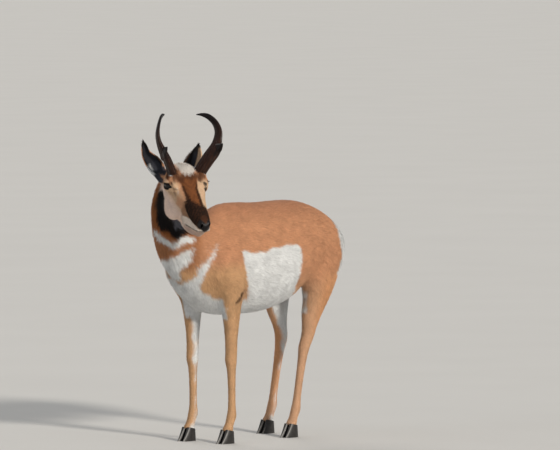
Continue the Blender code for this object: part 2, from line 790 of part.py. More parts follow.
def build():
    clear_scene()
    nodes = part_body()
    torso, neck_node = nodes[:2]
    mane(neck_node)
    head = head_node()
    nodes += [head, tail(torso)]
    for side, way in (("left", -1), ("right", 1)):
        nodes += [horn(side, way, head), ear(side, head), eyeball("eye_" + side, way)]
    low, high = corners(nodes)
    middle = Matrix.Translation((-(low[0] + high[0]) / 2, -(low[1] + high[1]) / 2, -low[2]))
    buck = bpy.data.collections.new("pronghorn")
    bpy.context.scene.collection.children.link(buck)
    for node in nodes:
        placed(node, middle)
        bpy.context.scene.collection.objects.unlink(node)
        buck.objects.link(node)
        kinds = [kind for kind in ("horn", "hoof", "eye") if kind in node.name]
        node.data.materials.clear()
        node.data.materials.append(finish(kinds[0] if kinds else "hide"))


def corners(nodes):
    """The lowest and highest corner of all the nodes together."""
    places = np.array([vert.co for node in nodes for vert in node.data.vertices])
    return places.min(axis=0), places.max(axis=0)


build()
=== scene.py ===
"""The standing pronghorn buck as it looks: skin, coat, horns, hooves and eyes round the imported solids.

The flesh is lofted from the same named sections as the solids, only finer, so each piece lies
where its node lies. Pieces are in metres, +Z up. Tables of sections are in millimetres, or in
thousandths of a share, and markings are in millimetres. The buck faces -X, its left side is -Y.
"""

import math

import bmesh
import bpy
import numpy as np
from mathutils import Matrix, Vector


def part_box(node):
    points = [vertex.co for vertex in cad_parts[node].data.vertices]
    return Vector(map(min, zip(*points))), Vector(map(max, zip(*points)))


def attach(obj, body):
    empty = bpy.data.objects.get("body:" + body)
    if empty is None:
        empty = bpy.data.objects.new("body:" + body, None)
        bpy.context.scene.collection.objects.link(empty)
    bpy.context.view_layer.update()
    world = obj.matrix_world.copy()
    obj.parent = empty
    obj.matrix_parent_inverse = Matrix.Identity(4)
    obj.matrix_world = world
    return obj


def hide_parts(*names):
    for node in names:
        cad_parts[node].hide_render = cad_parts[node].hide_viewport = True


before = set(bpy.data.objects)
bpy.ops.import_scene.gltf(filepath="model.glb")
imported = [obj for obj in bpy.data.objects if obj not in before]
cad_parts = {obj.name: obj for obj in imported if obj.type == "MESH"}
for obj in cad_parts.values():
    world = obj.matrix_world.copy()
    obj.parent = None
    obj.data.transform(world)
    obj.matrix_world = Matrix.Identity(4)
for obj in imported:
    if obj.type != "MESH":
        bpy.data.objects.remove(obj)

# Sizes shared with the solids
WITHERS = 0.87
TRUNK = 0.86
BARREL = 0.165
HEAD = 0.33
EAR = 0.157
EYE = 0.0235
LID = 0.0045
STANCE = 0.092
STRIDE = 0.085
CORONET = 0.047
HOOF = 0.072

HEAD_TURN = 66
HEAD_DROP = 33
HEAD_TILT = 2
HEAD_PLACE = (-0.523, -0.129, 0.926)
EARS = {
    # root, tip, and the way that the cup opens
    "left": ((0.064, -0.034, 0.040), (0.140, -0.132, 0.154), (-0.60, 0.80, 0)),
    "right": ((0.064, 0.056, 0.038), (0.106, 0.118, 0.180), (-0.85, 0.50, 0)),
}
EYE_LONG = 0.050    # the opening between the lids
EYE_HIGH = 0.0175
EYE_SET = -0.001    # how far it is set forward of the eyeball's middle
MOUTH = ((-235, -29), (-170, -50), (-135, -64), (-112, -71))
NOSTRIL = (-197, 14.5, -15)
SIDES = (("left", -1), ("right", 1))

# Grain of the skin, and the triangles that it keeps
BODY_VOXEL = 0.0065
SKIN_VOXEL = 0.0024
SKIN_FACES = 165000
EAR_VOXEL = 0.0015
EAR_FACES = 7000
HORN_VOXEL = 0.0013

# The coat: half the size of a tuft's patch on its sheet, and the faces in a piece
PATCH = 0.0015
MOST_FACES = 195000
LASHES = 150

# Camera, as the photograph's: its side, its height, pixels to the metre, and the frame
CAMERA_SIDE = -50
CAMERA_RISE = 3
CAMERA_AWAY = 25.0
PIXELS = 280
WIDE, HIGH = 560, 450
HEAD_PIXEL = (185.5, 190.3)

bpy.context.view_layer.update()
DRAW = np.random.default_rng(11)

# Colours of the coat, as light values
TAN = (0.610, 0.305, 0.165)
BACK = (0.470, 0.220, 0.120)
# painted light: the lower shoulder and the thigh made lighter and yellower, as where light falls on them
SHOULDER_LIT = (0.640, 0.385, 0.200)
THIGH_LIT = (0.740, 0.375, 0.180)
RUST = (0.300, 0.105, 0.032)
BRIDGE = (0.240, 0.083, 0.028)
CREAM = (0.700, 0.480, 0.310)
WHITE = (0.780, 0.790, 0.790)
CROWN = (0.740, 0.690, 0.640)
CHEEK = (0.900, 0.700, 0.590)
SPECKS = (0.330, 0.200, 0.130)
CHIN = (0.640, 0.460, 0.370)
LIP = (0.760, 0.650, 0.560)
LIP_EDGE = (0.290, 0.150, 0.085)
LIP_LINE = (0.070, 0.035, 0.022)
TEAR = (0.800, 0.650, 0.520)
BROWN = (0.110, 0.040, 0.018)
BROW = (0.085, 0.033, 0.016)
# painted shade, laid in creases and folds
CREASE_SHADE = (0.060, 0.022, 0.012)
DARK = (0.022, 0.010, 0.006)
BLACK = (0.008, 0.006, 0.006)
# painted shade in the ear's cup
EAR_CUP_SHADE = (0.023, 0.024, 0.031)
# painted shade at the front of the ear's root
EAR_ROOT_SHADE = (0.036, 0.038, 0.050)
# painted shade on the pale hair under the jaw and the throat
GULLET_SHADE = (0.150, 0.150, 0.175)


# Sections and lofts

def metres(values):
    """Millimetres as metres, or thousandths as shares."""
    return [value / 1000 for value in values]


def section(x, y, z, wide, rise, fall, turn=0.0, pitch=0.0, top=1.0, low=1.0):
    """A middle, half width, reach above and below, the way it faces, and how sharp its top and bottom are."""
    return (x, y, z, wide, rise, fall, turn, pitch, top, low)


def sections(*rows):
    """Sections from rows that begin with six measures in millimetres."""
    return [section(*metres(row[:6]), *row[6:]) for row in rows]


def between(rows, steps):
    """Rows with more rows read off a smooth curve between them."""
    rows = np.array(rows, float)
    ends = np.vstack([2 * rows[0] - rows[1], rows, 2 * rows[-1] - rows[-2]])
    made = []
    for i in range(len(rows) - 1):
        a, b, c, d = ends[i:i + 4]
        for step in range(steps):
            t = step / steps
            made.append(0.5 * (2 * b + (c - a) * t + (2 * a - 5 * b + 4 * c - d) * t ** 2
                               + (3 * b - a - 3 * c + d) * t ** 3))
    made.append(rows[-1])
    return np.array(made)


def axes(turn, pitch):
    """Forward, left and up of a section."""
    h, p = math.radians(turn), math.radians(pitch)
    ahead = Vector((-math.cos(h) * math.cos(p), -math.sin(h) * math.cos(p), math.sin(p)))
    left = Vector((math.sin(h), -math.cos(h), 0.0))
    return ahead, left, ahead.cross(left)


def new_object(name, data):
    made = bpy.data.objects.new(name, data)
    bpy.context.scene.collection.objects.link(made)
    return made


def object_from(name, shape):
    """An object from a bmesh, with its faces pointing out."""
    bmesh.ops.recalc_face_normals(shape, faces=shape.faces)
    if shape.calc_volume(signed=True) < 0:
        bmesh.ops.reverse_faces(shape, faces=shape.faces)
    mesh = bpy.data.meshes.new(name)
    shape.to_mesh(mesh)
    shape.free()
    return new_object(name, mesh)


def loft(name, rows, sides=32, steps=6, square=False):
    """A closed skin through the cross-sections. Square turns each one across its own path."""
    rows = between(rows, steps)
    ways = np.gradient(rows[:, :3], axis=0)
    shape = bmesh.new()
    rings = []
    for row, way in zip(rows, ways):
        x, y, z, wide, rise, fall, turn, pitch, top, low = row
        ahead, left, up = axes(turn, pitch)
        if square:
            ahead = Vector(way).normalized()
            left = (left - ahead * left.dot(ahead)).normalized()
            up = ahead.cross(left)
        ring = []
        for k in range(sides):
            angle = 2 * math.pi * k / sides
            c, s = math.cos(angle), math.sin(angle)
            out = math.copysign(abs(s) ** (top if c > 0 else low), s)
            place = Vector((x, y, z)) + left * (wide * out) + up * (c * (rise if c > 0 else fall))
            ring.append(shape.verts.new(place))
        rings.append(ring)
    for near, far in zip(rings, rings[1:]):
        for k in range(sides):
            n = (k + 1) % sides
            shape.faces.new((near[k], far[k], far[n], near[n]))
    shape.faces.new(rings[0])
    shape.faces.new(reversed(rings[-1]))
    return object_from(name, shape)


def in_frame(shape, place, size, turn, pitch):
    """Scales, turns and moves a unit shape. Its size runs forward, to the side and up."""
    ahead, left, up = axes(turn, pitch)
    turned = Matrix((ahead, left, up)).transposed()
    for vert in shape.verts:
        vert.co = Vector(place) + turned @ Vector(a * b for a, b in zip(vert.co, size))
    return shape


def ball(name, place, radii, turn=0.0, pitch=0.0, segments=32):
    """An ellipsoid."""
    shape = bmesh.new()
    bmesh.ops.create_uvsphere(shape, u_segments=segments, v_segments=segments * 2 // 3, radius=1)
    return object_from(name, in_frame(shape, place, radii, turn, pitch))


def slab(name, place, size, turn=0.0, pitch=0.0):
    """A box."""
    shape = bmesh.new()
    bmesh.ops.create_cube(shape, size=1)
    return object_from(name, in_frame(shape, place, size, turn, pitch))


def mirrored(rows):
    """The same sections on the right side of the body."""
    return [(row[0], -row[1], *row[2:6], -row[6], *row[7:]) for row in rows]


# Working with whole meshes

def alone(thing):
    """Selects one object and makes it the active one."""
    for other in bpy.context.selected_objects:
        other.select_set(False)
    thing.select_set(True)
    bpy.context.view_layer.objects.active = thing
    return thing


def applied(thing, kind, **settings):
    """Adds one modifier with these settings and applies it."""
    alone(thing)
    modifier = thing.modifiers.new(kind.lower(), kind)
    for name, value in settings.items():
        setattr(modifier, name, value)
    bpy.ops.object.modifier_apply(modifier=modifier.name)
    return thing


def placed(thing, matrix):
    thing.data.transform(matrix)
    return thing


def fused(name, pieces, voxel):
    """One skin round all the overlapping pieces."""
    shape = bmesh.new()
    for piece in pieces:
        shape.from_mesh(piece.data)
        bpy.data.objects.remove(piece)
    return applied(object_from(name, shape), "REMESH", mode="VOXEL", voxel_size=voxel)


def thinned(thing, faces, **settings):
    """The same form in about this many triangles."""
    triangles = sum(len(polygon.vertices) - 2 for polygon in thing.data.polygons)
    return applied(thing, "DECIMATE", ratio=min(1.0, faces / triangles), **settings)


def three_each(layer, name):
    """All the values of a layer of the mesh, three to a row."""
    values = np.empty(len(layer) * 3)
    layer.foreach_get(name, values)
    return values.reshape(-1, 3)


def places_of(thing):
    return three_each(thing.data.vertices, "co")


def normals_of(thing):
    return three_each(thing.data.vertex_normals, "vector")


def put_places(thing, place):
    thing.data.vertices.foreach_set("co", place.ravel())
    thing.data.update()
    return thing


def soften(thing, rounds, hold=None):
    """Evens out creases. Hold gives each point's share of the smoothing from its place."""
    mesh = thing.data
    place = places_of(thing)
    count = len(place)
    ends = np.empty(len(mesh.edges) * 2, int)
    mesh.edges.foreach_get("vertices", ends)
    a, b = ends.reshape(-1, 2).T
    degree = np.maximum(1, np.bincount(np.concatenate([a, b]), minlength=count))[:, None]
    share = np.ones((count, 1)) if hold is None else hold(place)[:, None]
    for _ in range(rounds):
        total = np.zeros_like(place)
        for axis in range(3):
            total[:, axis] = (np.bincount(a, place[b, axis], count)
                              + np.bincount(b, place[a, axis], count))
        place += 0.5 * share * (total / degree - place)
    return put_places(thing, place)


def combine(thing, other, way):
    """Union or difference of two closed meshes. The other one is used up."""
    applied(thing, "BOOLEAN", operation=way, object=other, solver="MANIFOLD")
    bpy.data.objects.remove(other)
    return thing


def unit(rows):
    """The same directions, each of length 1."""
    return rows / np.maximum(1e-9, np.linalg.norm(rows, axis=1))[:, None]


def smooth_step(value, low, high):
    """0 below low, 1 above high, and an even climb between."""
    t = np.clip((value - low) / (high - low), 0, 1)
    return t * t * (3 - 2 * t)


def edge(value, soft=4):
    """0 to 1 across a soft edge where the value passes 0."""
    return smooth_step(value, -soft, soft)


def read(value, *table):
    """A value read off a table of (at, value) pairs."""
    return np.interp(value, [row[0] for row in table], [row[1] for row in table])


def into(matrix, place):
    """Places as seen in a frame."""
    turned = np.array(matrix.inverted())
    return place @ turned[:3, :3].T + turned[:3, 3]


# The body's sections

def trunk():
    rows = []
    for *shares, ridge in (
        # along, top, middle, bottom, half width, and how sharp the ridge is
        (10, 800, 745, 690, 220, 1), (40, 850, 750, 640, 500, 1), (100, 905, 755, 590, 700, 1.1),
        (180, 950, 755, 542, 800, 1.3), (270, 990, 755, 526, 860, 1.4), (380, 995, 748, 524, 950, 1.2),
        (500, 990, 742, 528, 1020, 1.05), (610, 992, 750, 550, 1030, 1), (660, 993, 758, 578, 1010, 1),
        (710, 993, 770, 622, 980, 1), (760, 988, 785, 655, 940, 1), (810, 977, 795, 674, 900, 1),
        (870, 955, 800, 685, 860, 1), (940, 912, 795, 690, 750, 1), (990, 870, 790, 705, 520, 1),
        (1012, 830, 785, 735, 240, 1),
    ):
        along, top, middle, bottom, wide = metres(shares)
        rows.append(section((along - 0.5) * TRUNK, 0, middle * WITHERS, wide * BARREL,
                            (top - middle) * WITHERS, (middle - bottom) * WITHERS, top=ridge))
    return rows


def leg_rows(root, *shape):
    """Sections of a left leg, from its top down: height, how far ahead and inward, and three reaches."""
    made = []
    for row in shape:
        height, ahead, inward, wide, fore, aft = metres(row)
        made.append(section(root - ahead * TRUNK, -STANCE + inward, height * WITHERS, wide, fore, aft, pitch=-90))
    return made


def fore_leg():
    return leg_rows(
        -0.262 * TRUNK,
        (940, -60, 36, 30, 30, 35), (885, -25, 16, 44, 68, 72), (790, 40, 0, 52, 88, 96),
        (710, 58, -6, 52, 82, 100), (640, 35, -3, 46, 62, 84), (580, 10, 0, 36, 44, 54),
        (510, 3, 0, 29, 34, 36), (430, 3, 0, 23, 26, 26), (375, 3, 0, 22.5, 24, 22),
        (340, 4, 0, 22.5, 24.5, 21), (305, 2, 0, 18, 18, 18), (230, 0, 0, 15, 15.5, 16),
        (150, 0, 0, 15, 15, 17), (112, 3, 0, 18, 18, 22), (80, 16, 0, 17.5, 16, 19),
        (52, 30, 0, 21.5, 21, 22), (30, 33, 0, 21.5, 22, 23))


def hind_leg(stride=0.0):
    """A left hind leg from the hip to the coronet, with its foot set forward by a stride."""
    rows = leg_rows(
        0.30 * TRUNK,
        (920, 0, 50, 35, 60, 60), (860, -6, 20, 58, 100, 115), (780, -8, 2, 66, 118, 134),
        (700, 6, -6, 62, 96, 116), (635, 18, -7, 53, 66, 96), (575, 18, -3, 43, 54, 67),
        (515, 12, 0, 34, 46, 50), (460, -4, 0, 26.5, 32, 33), (418, -14, 0, 23.5, 26, 29),
        (378, -12, 0, 21.5, 23, 26), (330, 0, 0, 17.5, 18.5, 20), (240, 20, 0, 15, 16, 17),
        (155, 38, 0, 15, 15.5, 18), (114, 47, 0, 18, 18, 23), (80, 62, 0, 17.5, 16, 19),
        (52, 76, 0, 21.5, 21, 22), (30, 79, 0, 21.5, 22, 23))
    stifle, hock = 0.560 * WITHERS, 0.385 * WITHERS
    return [(row[0] - stride * min(1.0, max(0.0, (stifle - row[2]) / (stifle - hock))), *row[1:]) for row in rows]


def legs():
    """Sections of the four legs by the names of their nodes."""
    return {
        "foreleg_left": fore_leg(),
        "foreleg_right": mirrored(fore_leg()),
        "hindleg_left": hind_leg(STRIDE),
        "hindleg_right": mirrored(hind_leg()),
    }


def neck():
    return sections(
        (-200, 0, 700, 108, 130, 170, 0, 10, 1.2),
        (-300, 0, 712, 104, 128, 168, 0, 20, 1.25),
        (-385, 0, 755, 92, 108, 142, 0, 34, 1.2),
        (-438, -2, 812, 78, 86, 108, 6, 50, 1.15),
        (-468, -8, 868, 68, 72, 84, 20, 58, 1.1),
        (-480, -24, 915, 60, 62, 68, 38, 50),
        (-486, -48, 942, 54, 52, 62, 54, 15),
        (-500, -78, 940, 48, 44, 56, 64, -20))


def tail_rows():
    return sections(
        (375, 0, 795, 14, 12, 14, 180, -20),
        (405, 0, 782, 19, 14, 16, 180, -40),
        (432, 0, 752, 24, 15, 16, 180, -65),
        (441, 0, 715, 23, 14, 16, 180, -85),
        (440, 0, 687, 14, 9, 12, 180, -88),
        (438, 0, 672, 3, 3, 3, 180, -90))


# The head's sections

def level():
    """Where the head is carried, before the nose drops."""
    return (Matrix.Translation(HEAD_PLACE) @ Matrix.Rotation(math.radians(HEAD_TURN), 4, "Z")
            @ Matrix.Rotation(-math.radians(HEAD_TILT), 4, "X"))


def face():
    """The frame of the face, whose -X runs down to the nose."""
    return level() @ Matrix.Rotation(-math.radians(HEAD_DROP), 4, "Y")


def skull():
    rows = []
    for *shares, ridge, keel in (
        # ahead, top, middle, bottom, half width, and how sharp the top and the bottom are
        (-380, 60, 0, -120, 105, 1, 1), (-310, 140, 0, -200, 150, 1, 1), (-230, 185, 10, -270, 180, 0.9, 1.1),
        (-120, 205, 30, -328, 200, 0.85, 1.1), (0, 197, 40, -350, 195, 0.80, 1.05),
        (90, 172, 30, -350, 174, 0.85, 1), (200, 138, 10, -330, 145, 1, 1), (310, 100, -15, -302, 122, 1.05, 1),
        (420, 62, -45, -268, 104, 1, 1), (510, 30, -65, -226, 93, 0.9, 1), (570, 0, -75, -165, 73, 0.9, 1),
        (605, -22, -78, -130, 51, 1, 1), (624, -42, -72, -92, 24, 1, 1),
    ):
        ahead, top, middle, bottom, wide = metres(shares)
        rows.append(section(-ahead * HEAD, 0, middle * HEAD, wide * HEAD, (top - middle) * HEAD,
                            (middle - bottom) * HEAD, top=ridge, low=keel))
    return rows


HEAD_FORMS = (
    # forms that stand out of each side of the skull: (ahead, side, up), radii and pitch
    ((0, 53, 22), (36, 28, 29), 0),
    ((4, 56, 41), (36, 20, 12), -8),
    ((6, 41, -66), (70, 18, 46), 24),
    ((60, 36, -14), (56, 12, 20), -14),
    ((-16, 55, 46), (30, 21, 20), 0),
    ((-80, 53, 4), (24, 22, 28), 0),
    ((183, 13, -12), (19, 10, 14), -10),
    ((160, 18, -44), (40, 13, 15), 14),
    ((112, 16, -84), (60, 15, 12), 12),
)


def eye_place(way):
    return Vector((0.008, way * 0.0590, 0.022))


def eye_frame(way):
    """An eye's own frame: +Z looks out, and X runs along the opening to its front corner."""
    look = Vector((-0.53, way * 0.83, 0.15)).normalized()
    along = Vector((-0.87, -way * 0.44, 0.42))
    along = (along - look * along.dot(look)).normalized()
    turned = Matrix((along, look.cross(along), look)).transposed().to_4x4()
    return Matrix.Translation(eye_place(way)) @ turned


def nape():
    """The plane behind the skull: a point, and the way it faces."""
    return face() @ Vector((0.095, 0, -0.02)), axes(HEAD_TURN, -15)[0]


def throat():
    """The plane under the angle of the jaw: a point, and the way it faces."""
    return level() @ Vector((0.079, 0, -0.092)), axes(HEAD_TURN, 50)[0]


# The solids are shifted so that their box stands on the origin, and so are the pieces here
LOW, HIGH_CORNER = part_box("eye_left")
SHIFT = (LOW + HIGH_CORNER) / 2 - face() @ eye_place(-1)
HOME = Matrix.Translation(SHIFT)


# The skin

def body_flesh():
    pieces = [loft("trunk", trunk(), sides=28, steps=3)]
    pieces += [loft(name, rows, sides=20, steps=3) for name, rows in legs().items()]
    pieces.append(loft("neck", neck(), sides=28, steps=3))

    def above_the_knee(place):
        low, high = 0.40 * WITHERS, 0.60 * WITHERS
        return 0.10 + 0.90 * np.clip((place[:, 2] - low) / (high - low), 0, 1)

    return soften(fused("body", pieces, BODY_VOXEL), 16, above_the_knee)


def head_flesh():
    pieces = [loft("skull", skull(), sides=56)]
    for number, (place, radii, pitch) in enumerate(HEAD_FORMS):
        ahead, side, up = metres(place)
        for way in (-1, 1):
            pieces.append(ball(f"form_{number}_{way}", (-ahead, way * side, up), metres(radii), 0, pitch))
    pieces.append(ball("chin", (-0.152, 0, -0.073), (0.026, 0.018, 0.013)))
    for piece in pieces:
        placed(piece, face())
    for way in (-1, 1):
        lids = ball(f"lids_{way}", (0, 0, 0), (EYE + LID,) * 3)
        pieces.append(placed(lids, face() @ eye_frame(way)))
    pieces.append(loft("upper_neck", neck()[3:], sides=48))
    return pieces


def head_share(place):
    """1 on the head and 0 on the neck, with a soft change at the planes that part them."""
    reach = [(place - np.array(point)) @ np.array(way) for point, way in (nape(), throat())]
    return smooth_step(np.minimum(*reach), -0.015, 0.015)


def coat_depth(place):
    """How far the skin lies under the tips of the coat."""
    depth = read(place[:, 2], (0.10, 0.0012), (0.30, 0.0016), (0.42, 0.0028), (0.55, 0.0050))
    return depth + (0.0013 - depth) * head_share(place)


# Forms in the skin: middle, radii, how far it stands out, and the turn of its long axis in the X-Z plane
BODY_RELIEF = (
    ((-300, 115, 700), (16, 60, 120), 3.5, -18),   # edge of the shoulder blade
    ((-235, 125, 610), (50, 60, 45), 5, 0),        # muscle over the elbow
    ((-180, 120, 545), (16, 70, 60), -6, 24),      # crease behind the elbow
    ((-255, 110, 480), (30, 50, 60), 2, 0),        # forearm
    ((90, 150, 745), (50, 60, 50), -5, 20),        # hollow of the flank
    ((175, 130, 790), (30, 50, 28), 4.5, 0),       # point of the hip
    ((120, 130, 590), (30, 80, 70), -6, -30),      # fold before the stifle
    ((230, 140, 620), (60, 60, 80), 4, 10),        # thigh
    ((330, 120, 600), (18, 60, 110), -3.5, -8),    # groove behind the thigh
    ((345, 75, 745), (30, 50, 30), 3.5, 0),        # point of the buttock
    ((-209, 130, 537), (7, 50, 30), -3.5, 61),     # fold over the elbow
    ((90, 147, 567), (9, 50, 40), -3.5, -24),      # fold of the flank
    ((60, 147, 585), (14, 50, 40), 2, -24),        # loose skin before it
    ((-330, 110, 620), (10, 50, 60), -3, 20),      # groove before the shoulder
)
HEAD_RELIEF = (
    ((-46, 46, 14), (20, 18, 18), 3.6, 10),        # bone before the eye
    ((-192, 19, -9), (10, 5, 5), 1.3, 20),         # wing of the nostril
    ((-201, 7, -8), (6, 4, 8), 0.8, 0),            # inner rim of the nostril
    ((-50, 46, -22), (45, 12, 6), 2, 18),          # ridge of the cheekbone
    ((-20, 50, -40), (35, 15, 10), -1.6, 10),      # under the cheekbone
    ((40, 50, -70), (14, 20, 45), 2, 0),           # angle of the jaw
    ((-120, 24, 2), (50, 10, 7), -1.2, -14),       # side of the nose bone
    ((0, 0, 60), (30, 12, 20), -1.8, 0),           # dip between the brows
    ((-178, 24, -20), (12, 10, 4), -1.6, 30),      # under the wing of the nostril
)


def folded_over(place):
    """The places with both sides brought to one."""
    return np.column_stack([place[:, 0], np.abs(place[:, 1]), place[:, 2]])


def swollen(push, place, forms, share=1.0):
    """Adds the forms to how far the skin is pushed out. Places are in millimetres."""
    place = folded_over(place)
    for middle, radii, amount, turn in forms:
        x, y, z = (place - middle).T
        c, s = math.cos(math.radians(turn)), math.sin(math.radians(turn))
        near = ((x * c + z * s) / radii[0]) ** 2 + (y / radii[1]) ** 2 + ((z * c - x * s) / radii[2]) ** 2
        push += share * (amount / 1000) * np.exp(-near)


def carved(skin):
    """Muscle, bone and folds pushed out of the skin or pressed into it."""
    place = places_of(skin)
    normal = normals_of(skin)
    push = np.zeros(len(place))
    swollen(push, 1000 * place, BODY_RELIEF)
    x, y, z = 1000 * place.T
    loose = smooth_step(x, -170, -100) * (1 - smooth_step(x, -30, 40)) * smooth_step(620 - z, 0, 50)
    loose = loose * smooth_step(z, 470, 500) * edge(np.abs(y) - 50, 20)
    push += 0.0013 * loose * np.sin(x * 0.19 - z * 0.12 + 2.0 * np.sin(z * 0.06 + x * 0.02))
    swollen(push, 1000 * into(face(), place), HEAD_RELIEF, head_share(place))
    for rows in legs().values():
        push += tendons(place, rows)
    return put_places(skin, place + normal * (push - coat_depth(place))[:, None])


def tendons(place, rows):
    """Grooves down both sides of a cannon, between the bone and the tendons behind it."""
    rows = np.array(rows)[::-1]
    high = place[:, 2]
    ahead = place[:, 0] - np.interp(high, rows[:, 2], rows[:, 0])
    aside = np.abs(place[:, 1] - np.interp(high, rows[:, 2], rows[:, 1]))
    side, back = (aside - 0.013) / 0.006, (ahead - 0.006) / 0.0035
    on_cannon = smooth_step(high, 0.12, 0.15) * (1 - smooth_step(high, 0.26, 0.29))
    near = (aside < 0.03) & (np.abs(ahead) < 0.05)
    return -0.0022 * np.exp(-side ** 2 - back ** 2) * on_cannon * near


def ear_rows():
    """An ear that stands up along +Z and opens towards -X: outside, then what is scooped out."""
    made = []
    for table in (
        # along, lean, half width, back and fore
        ((0, 0, 16, 14, 14), (130, 0, 20, 16, 16), (300, 1, 28, 18, 17), (500, 2, 32, 17, 15),
         (700, 0, 26, 13, 12), (880, -5, 13, 7, 7), (1000, -10, 2, 1.5, 1.5)),
        ((170, -6, 9, 8, 14), (300, -7, 23, 21, 30), (500, -6, 28, 21, 30), (700, -6, 22.5, 15.5, 30),
         (880, -9, 10.5, 7.5, 30), (970, -12, 3, 3, 20)),
    ):
        made.append([section(lean, 0, along * EAR, wide, back, fore, 0, 90)
                     for along, lean, wide, back, fore in map(metres, table)])
    return made


def ear_frame(side):
    root, tip, opening = (Vector(place) for place in EARS[side])
    up = (tip - root).normalized()
    back = (-(opening - up * opening.dot(up))).normalized()
    turned = Matrix((back, up.cross(back), up)).transposed().to_4x4()
    return level() @ Matrix.Translation(root) @ turned


def narrowed(rows):
    """The right ear's rows, drawn in towards its outer rim where it tapers."""
    made = []
    for row in rows:
        up = row[2] / EAR
        shift = read(up, (0.50, 0.003), (0.70, 0.008), (0.88, 0.001), (1.00, -0.006))
        share = read(up, (0.30, 1.0), (0.50, 0.84), (0.70, 0.66), (0.88, 0.80), (1.00, 1.0))
        made.append((row[0], row[1] + shift * (up > 0.4), row[2], row[3] * share, *row[4:]))
    return made


def ear_shape(side):
    """An ear's rows, outside and inside, as that side has them."""
    return [narrowed(rows) if side == "right" else rows for rows in ear_rows()]


def ear(side):
    """One cupped ear, with its rim rounded."""
    outside, inside = ear_shape(side)
    made = loft("ear_" + side, outside, sides=40)
    combine(made, loft("scoop", inside, sides=32), "DIFFERENCE")
    applied(made, "REMESH", mode="VOXEL", voxel_size=EAR_VOXEL)
    return placed(thinned(soften(made, 3), EAR_FACES), ear_frame(side))


def eye_opening(way, deep=0.007, reach=0.05):
    """An almond that is cut through the lids, from a little above the middle of the eyeball."""
    shape = bmesh.new()
    rim = []
    for k in range(40):
        angle = 2 * math.pi * (k + 0.5) / 40
        c, s = math.cos(angle), math.sin(angle)
        rim.append(shape.verts.new((EYE_SET + EYE_LONG / 2 * c,
                                    EYE_HIGH / 2 * math.copysign(abs(s) ** 1.3, s), deep)))
    lifted = bmesh.ops.extrude_face_region(shape, geom=[shape.faces.new(rim)])["geom"]
    tops = [item for item in lifted if isinstance(item, bmesh.types.BMVert)]
    bmesh.ops.translate(shape, verts=tops, vec=(0, 0, reach))
    return placed(object_from("opening", shape), face() @ eye_frame(way))


def mouth_sheet():
    """A thin bent sheet that parts the lips all round the muzzle."""
    rows = sections(*((ahead, 0, up, 60, 1, 1) for ahead, up in reversed(MOUTH)))
    return placed(loft("sheet", rows, sides=4, steps=6), face())


def skin_piece():
    """Torso, neck, head, ears, tail and legs in one skin."""
    whole = fused("skin", [body_flesh(), *head_flesh(), loft("tail", tail_rows(), sides=20)], SKIN_VOXEL)
    soften(whole, 6)
    keep = whole.vertex_groups.new(name="coarser")
    freely = 1 - 0.97 * head_share(places_of(whole))
    for step in range(11):
        chosen = np.where(np.abs(freely * 10 - step) <= 0.5)[0]
        keep.add([int(k) for k in chosen], step / 10, "REPLACE")
    thinned(whole, SKIN_FACES, vertex_group="coarser")
    whole.vertex_groups.clear()
    carved(whole)
    core = new_object("core", whole.data.copy())
    put_places(core, places_of(core) - 0.004 * normals_of(core))
    combine(whole, combine(mouth_sheet(), core, "DIFFERENCE"), "DIFFERENCE")
    ahead, aside, up = metres(NOSTRIL)
    for _, way in SIDES:
        socket = ball("socket", (0, 0, 0), (EYE + 0.0002,) * 3, segments=48)
        placed(socket, face() @ eye_frame(way))
        combine(whole, combine(socket, eye_opening(way), "UNION"), "DIFFERENCE")
        nostril = ball("nostril", (ahead, way * aside, up), (0.0115, 0.0046, 0.0085), -way * 30, 30)
        combine(whole, placed(nostril, face()), "DIFFERENCE")
    for side, _ in SIDES:
        combine(whole, ear(side), "UNION")
    for rows in legs().values():
        combine(whole, coronet_cut(rows, -78), "DIFFERENCE")
    return whole


def ankle_of(rows):
    return Vector((rows[-2][0], rows[-2][1], CORONET))


def coronet_cut(rows, pitch):
    """A block whose face is the plane of the coronet, on the side that the pitch points to."""
    return slab("cut", ankle_of(rows) + axes(0, pitch)[0] * 0.060, (0.120, 0.090, 0.110), 0, pitch)


# What is where on the animal

def neck_at(place):
    """The neck's axis at each height: its x and y."""
    rows = np.array(neck()[1:6])
    return [np.interp(place[:, 2], rows[:, 2], rows[:, k]) for k in (0, 1)]


def ear_parts(place, side):
    """How far up an ear each place is, 0 to 1, and 1 for the outer face or less for the cup."""
    seen = into(ear_frame(side), place)
    outside = np.array(ear_shape(side)[0])
    up = seen[:, 2] / EAR
    lean, over, wide, back = (np.interp(up, outside[:, 2] / EAR, outside[:, k]) for k in (0, 1, 3, 4))
    around = np.sqrt(((seen[:, 1] - over) / wide) ** 2 + ((seen[:, 0] - lean) / back) ** 2)
    on_ear = (up > 0.10) & (up < 1.06) & (around < 1.5)
    return up, around, on_ear, seen


def eye_parts(place, way):
    """How far out from the eye opening's middle, 1 at its rim, and the place on the eye's own axes, in mm."""
    seen = into(face() @ eye_frame(way), place)
    out = np.sqrt(((seen[:, 0] - EYE_SET) / (EYE_LONG / 2)) ** 2 + (seen[:, 1] / (EYE_HIGH / 2)) ** 2)
    return out, 1000 * seen


def mouth_height(ahead):
    """Height of the line between the lips, on the face."""
    return read(ahead, *MOUTH)


def from_line(place, *points):
    """How far each place is from the straight lines between these points, one after another."""
    far = []
    for start, end in zip(points, points[1:]):
        start, run = np.array(start), np.array(end) - np.array(start)
        share = np.clip((place - start) @ run / (run @ run), 0, 1)
        far.append(np.linalg.norm(place - start - share[:, None] * run, axis=1))
    return np.min(far, axis=0)


# The markings, with painted light and shade among them, in millimetres

def plain(place, shade):
    """One colour at every place."""
    return np.tile(shade, (len(place), 1))


def paint(colour, *layers):
    """The colour under these layers, each a share from 0 to 1 and the colour that it lays on."""
    for share, over in layers:
        share = np.clip(share, 0, 1)[:, None]
        colour = colour * (1 - share) + np.array(over) * share
    return colour


